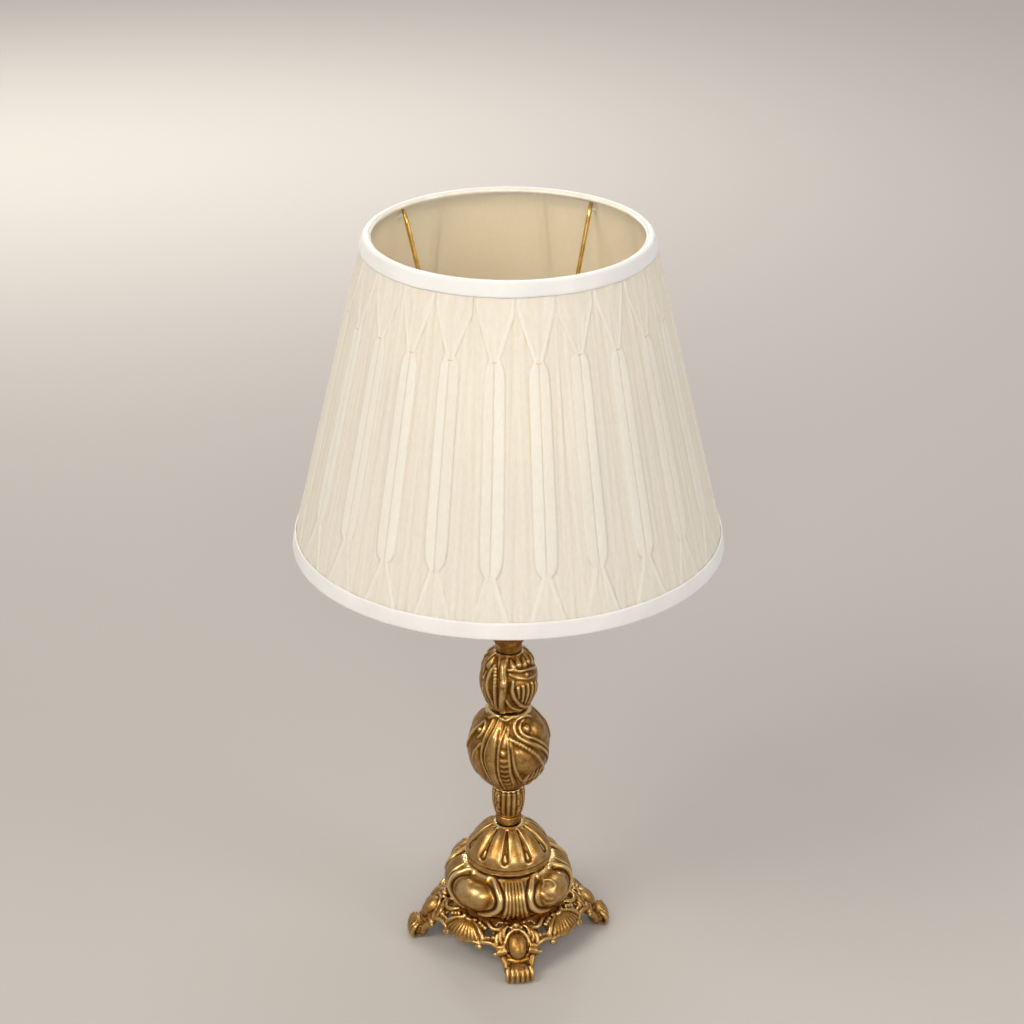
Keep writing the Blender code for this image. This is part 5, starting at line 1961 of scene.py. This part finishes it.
    def bulb(self) -> None:
        """The bulb: a smooth opal envelope on a threaded cap."""
        foot, top, _ = extent("bulb_glass")
        crown = 30.0
        middle = top - foot - crown
        outer = flowing(
            (
                (13.4, 0), (13.9, 0.12 * middle), (23.1, 0.58 * middle), (28.5, 0.82 * middle),
                (crown, middle),
            ),
            10,
        )
        outer += [
            (crown * math.cos(a), middle + crown * math.sin(a))
            for a in np.linspace(0, math.pi / 2, 20)[1:-1]
        ]
        wall = 0.9
        inner = [(r - wall, z) for r, z in outer] + [(0.0, middle + crown - wall)]
        loop = [(0.0, middle + crown), *reversed(outer), *inner]
        shape = turned([(r, z + foot) for r, z in loop], 96, closed=False)
        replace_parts(finished("bulb_glass_blown", shape, "bulb", OPAL), "bulb_glass")
        foot, top, reach = extent("bulb_cap")
        outside = [
            (11.4, foot), (reach, foot + 1.2), *((reach, z) for z in np.arange(foot + 1.7, top - 0.3, 0.4)),
            (reach, top),
        ]
        loop = [*outside, (reach - 1.6, top), (reach - 1.6, foot + 1.6), (10.6, foot)]

        def thread(radius: float, turn: float, height: float) -> float:
            """The rolled bulb thread, left plain at its collar."""
            fade = min(1.0, max(0.0, (top - 3.0 - height) / 2.0))
            if radius < reach - 0.05:
                return 0.0
            return fade * (-0.5 + 0.5 * math.cos(2 * math.pi * height / self.thread_pitch - turn))

        self.waved("bulb_cap", "bulb", loop, 96, NICKEL, thread)

    def hidden(self) -> None:
        """Better materials on the CAD parts that keep their shape."""
        finishes = {
            BRIGHT: (
                "holder_cap", "base_nut", "holder_nut", "screw_shell", "centre_contact", "terminal_screw_0",
                "terminal_screw_1", "terminal_screw_2", "switch_spindle",
            ),
            STEEL: ("threaded_tube", "clamp_plate"),
            NICKEL: ("bulb_contact",),
            CERAMIC: ("holder_insert",),
            BLACK: ("lower_bush", "upper_bush", "bulb_insulator"),
        }
        for finish, names in finishes.items():
            for name in names:
                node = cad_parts[name]
                for material_slot in node.material_slots:
                    material_slot.material = finish.material()

    def build(self) -> None:
        """Builds every fitting."""
        self.stand_parts()
        self.lampholder()
        self.switch()
        self.bulb()
        self.hidden()


# ---------------------------------------------------------------- stage


@dataclass(frozen=True)
class Lamp:
    """One soft light over the stage."""

    name: str
    place: tuple[float, float, float]
    aim: tuple[float, float, float]
    size: tuple[float, float]
    power: float
    colour: str = "#FFFFFF"
    spread: float = 180.0

    def build(self) -> None:
        """Hangs the light and turns it to its aim."""
        data = bpy.data.lights.new(self.name, "AREA")
        data.shape = "RECTANGLE"
        data.size, data.size_y = self.size
        data.energy = self.power
        data.spread = math.radians(self.spread)
        data.color = linear(self.colour)[:3]
        light = bpy.data.objects.new(self.name, data)
        light.location = self.place
        light.rotation_euler = (Vector(self.aim) - Vector(self.place)).to_track_quat("-Z", "Y").to_euler()
        bpy.context.scene.collection.objects.link(light)


@dataclass
class Studio:
    """A plain pale floor, soft light from the upper left, and the camera."""

    floor_colour: str = "#B4AEA9"
    camera_place: tuple[float, float, float] = (-0.1726, -1.5126, 1.0720)
    camera_tilt: float = 64.43
    camera_turn: float = -6.51
    lens: float = 86.0
    shift_x: float = 0.0034

    def floor(self) -> None:
        """One large pale sheet."""
        shape = bmesh.new()
        bmesh.ops.create_grid(shape, x_segments=2, y_segments=2, size=9.0)
        bmesh.ops.translate(shape, verts=shape.verts, vec=(0.0, 4.0, 0.0))
        mesh = meshed("floor", shape)
        material = bpy.data.materials.new("matt_paper")
        material.use_nodes = True
        tree = material.node_tree
        tree.nodes.clear()
        shader = add_node(
            tree, "ShaderNodeBsdfPrincipled", {"Base Color": linear(self.floor_colour), "Roughness": 0.9}
        )
        out = tree.nodes.new("ShaderNodeOutputMaterial")
        tree.links.new(shader.outputs["BSDF"], out.inputs["Surface"])
        mesh.materials.append(material)
        floor = bpy.data.objects.new("floor", mesh)
        bpy.context.scene.collection.objects.link(floor)

    def light(self) -> None:
        """A key from the upper left, soft front and fill, a glow behind, and one through the shade."""
        for lamp in (
            Lamp("key", (-1.5, -0.9, 1.9), (0.0, 0.0, 0.25), (1.1, 1.1), 26.0, "#FFFAF2"),
            Lamp("front", (-0.2, -2.3, 1.5), (0.0, 0.0, 0.4), (1.0, 0.9), 20.0, "#FFFCF6"),
            Lamp("back", (0.0, 1.6, 1.35), (0.0, 0.1, 0.47), (0.35, 0.35), 0.26, spread=16.0),
            Lamp("fill", (1.7, -1.3, 1.3), (0.0, 0.0, 0.2), (0.9, 1.4), 12.0),
            Lamp("top", (0.7, 2.0, 2.9), (0.5, 1.7, 0.0), (2.0, 2.0), 34.0),
            Lamp("glow", (-1.25, 2.0, 1.6), (-1.23, 2.0, 0.0), (0.6, 3.2), 15.0, "#FFFDF6", 84.0),
        ):
            lamp.build()
        world = bpy.data.worlds.new("studio")
        world.use_nodes = True
        world.node_tree.nodes["Background"].inputs["Color"].default_value = linear("#E9E6E2")
        world.node_tree.nodes["Background"].inputs["Strength"].default_value = 0.68
        bpy.context.scene.world = world
        bpy.context.scene.view_settings.view_transform = "Standard"

    def camera(self) -> None:
        """The camera, looking down on the lamp from the front."""
        data = bpy.data.cameras.new("camera")
        data.lens = self.lens
        data.sensor_width = 36.0
        data.shift_x = self.shift_x
        camera = bpy.data.objects.new("camera", data)
        camera.location = self.camera_place
        camera.rotation_euler = (math.radians(self.camera_tilt), 0.0, math.radians(self.camera_turn))
        bpy.context.scene.collection.objects.link(camera)
        bpy.context.scene.camera = camera

    def build(self) -> None:
        """Sets the stage."""
        self.floor()
        self.light()
        self.camera()


def main() -> None:
    """Builds the lamp piece by piece."""
    logging.basicConfig(level=logging.INFO, format="%(message)s")
    Studio().build()
    Fittings().build()
    for casting in (drum_casting(), dome_casting(), stem_casting(), ball_casting(), vase_casting()):
        casting.build()
    Foot().build()
    Shade().build()


if __name__ == "__main__":
    main()
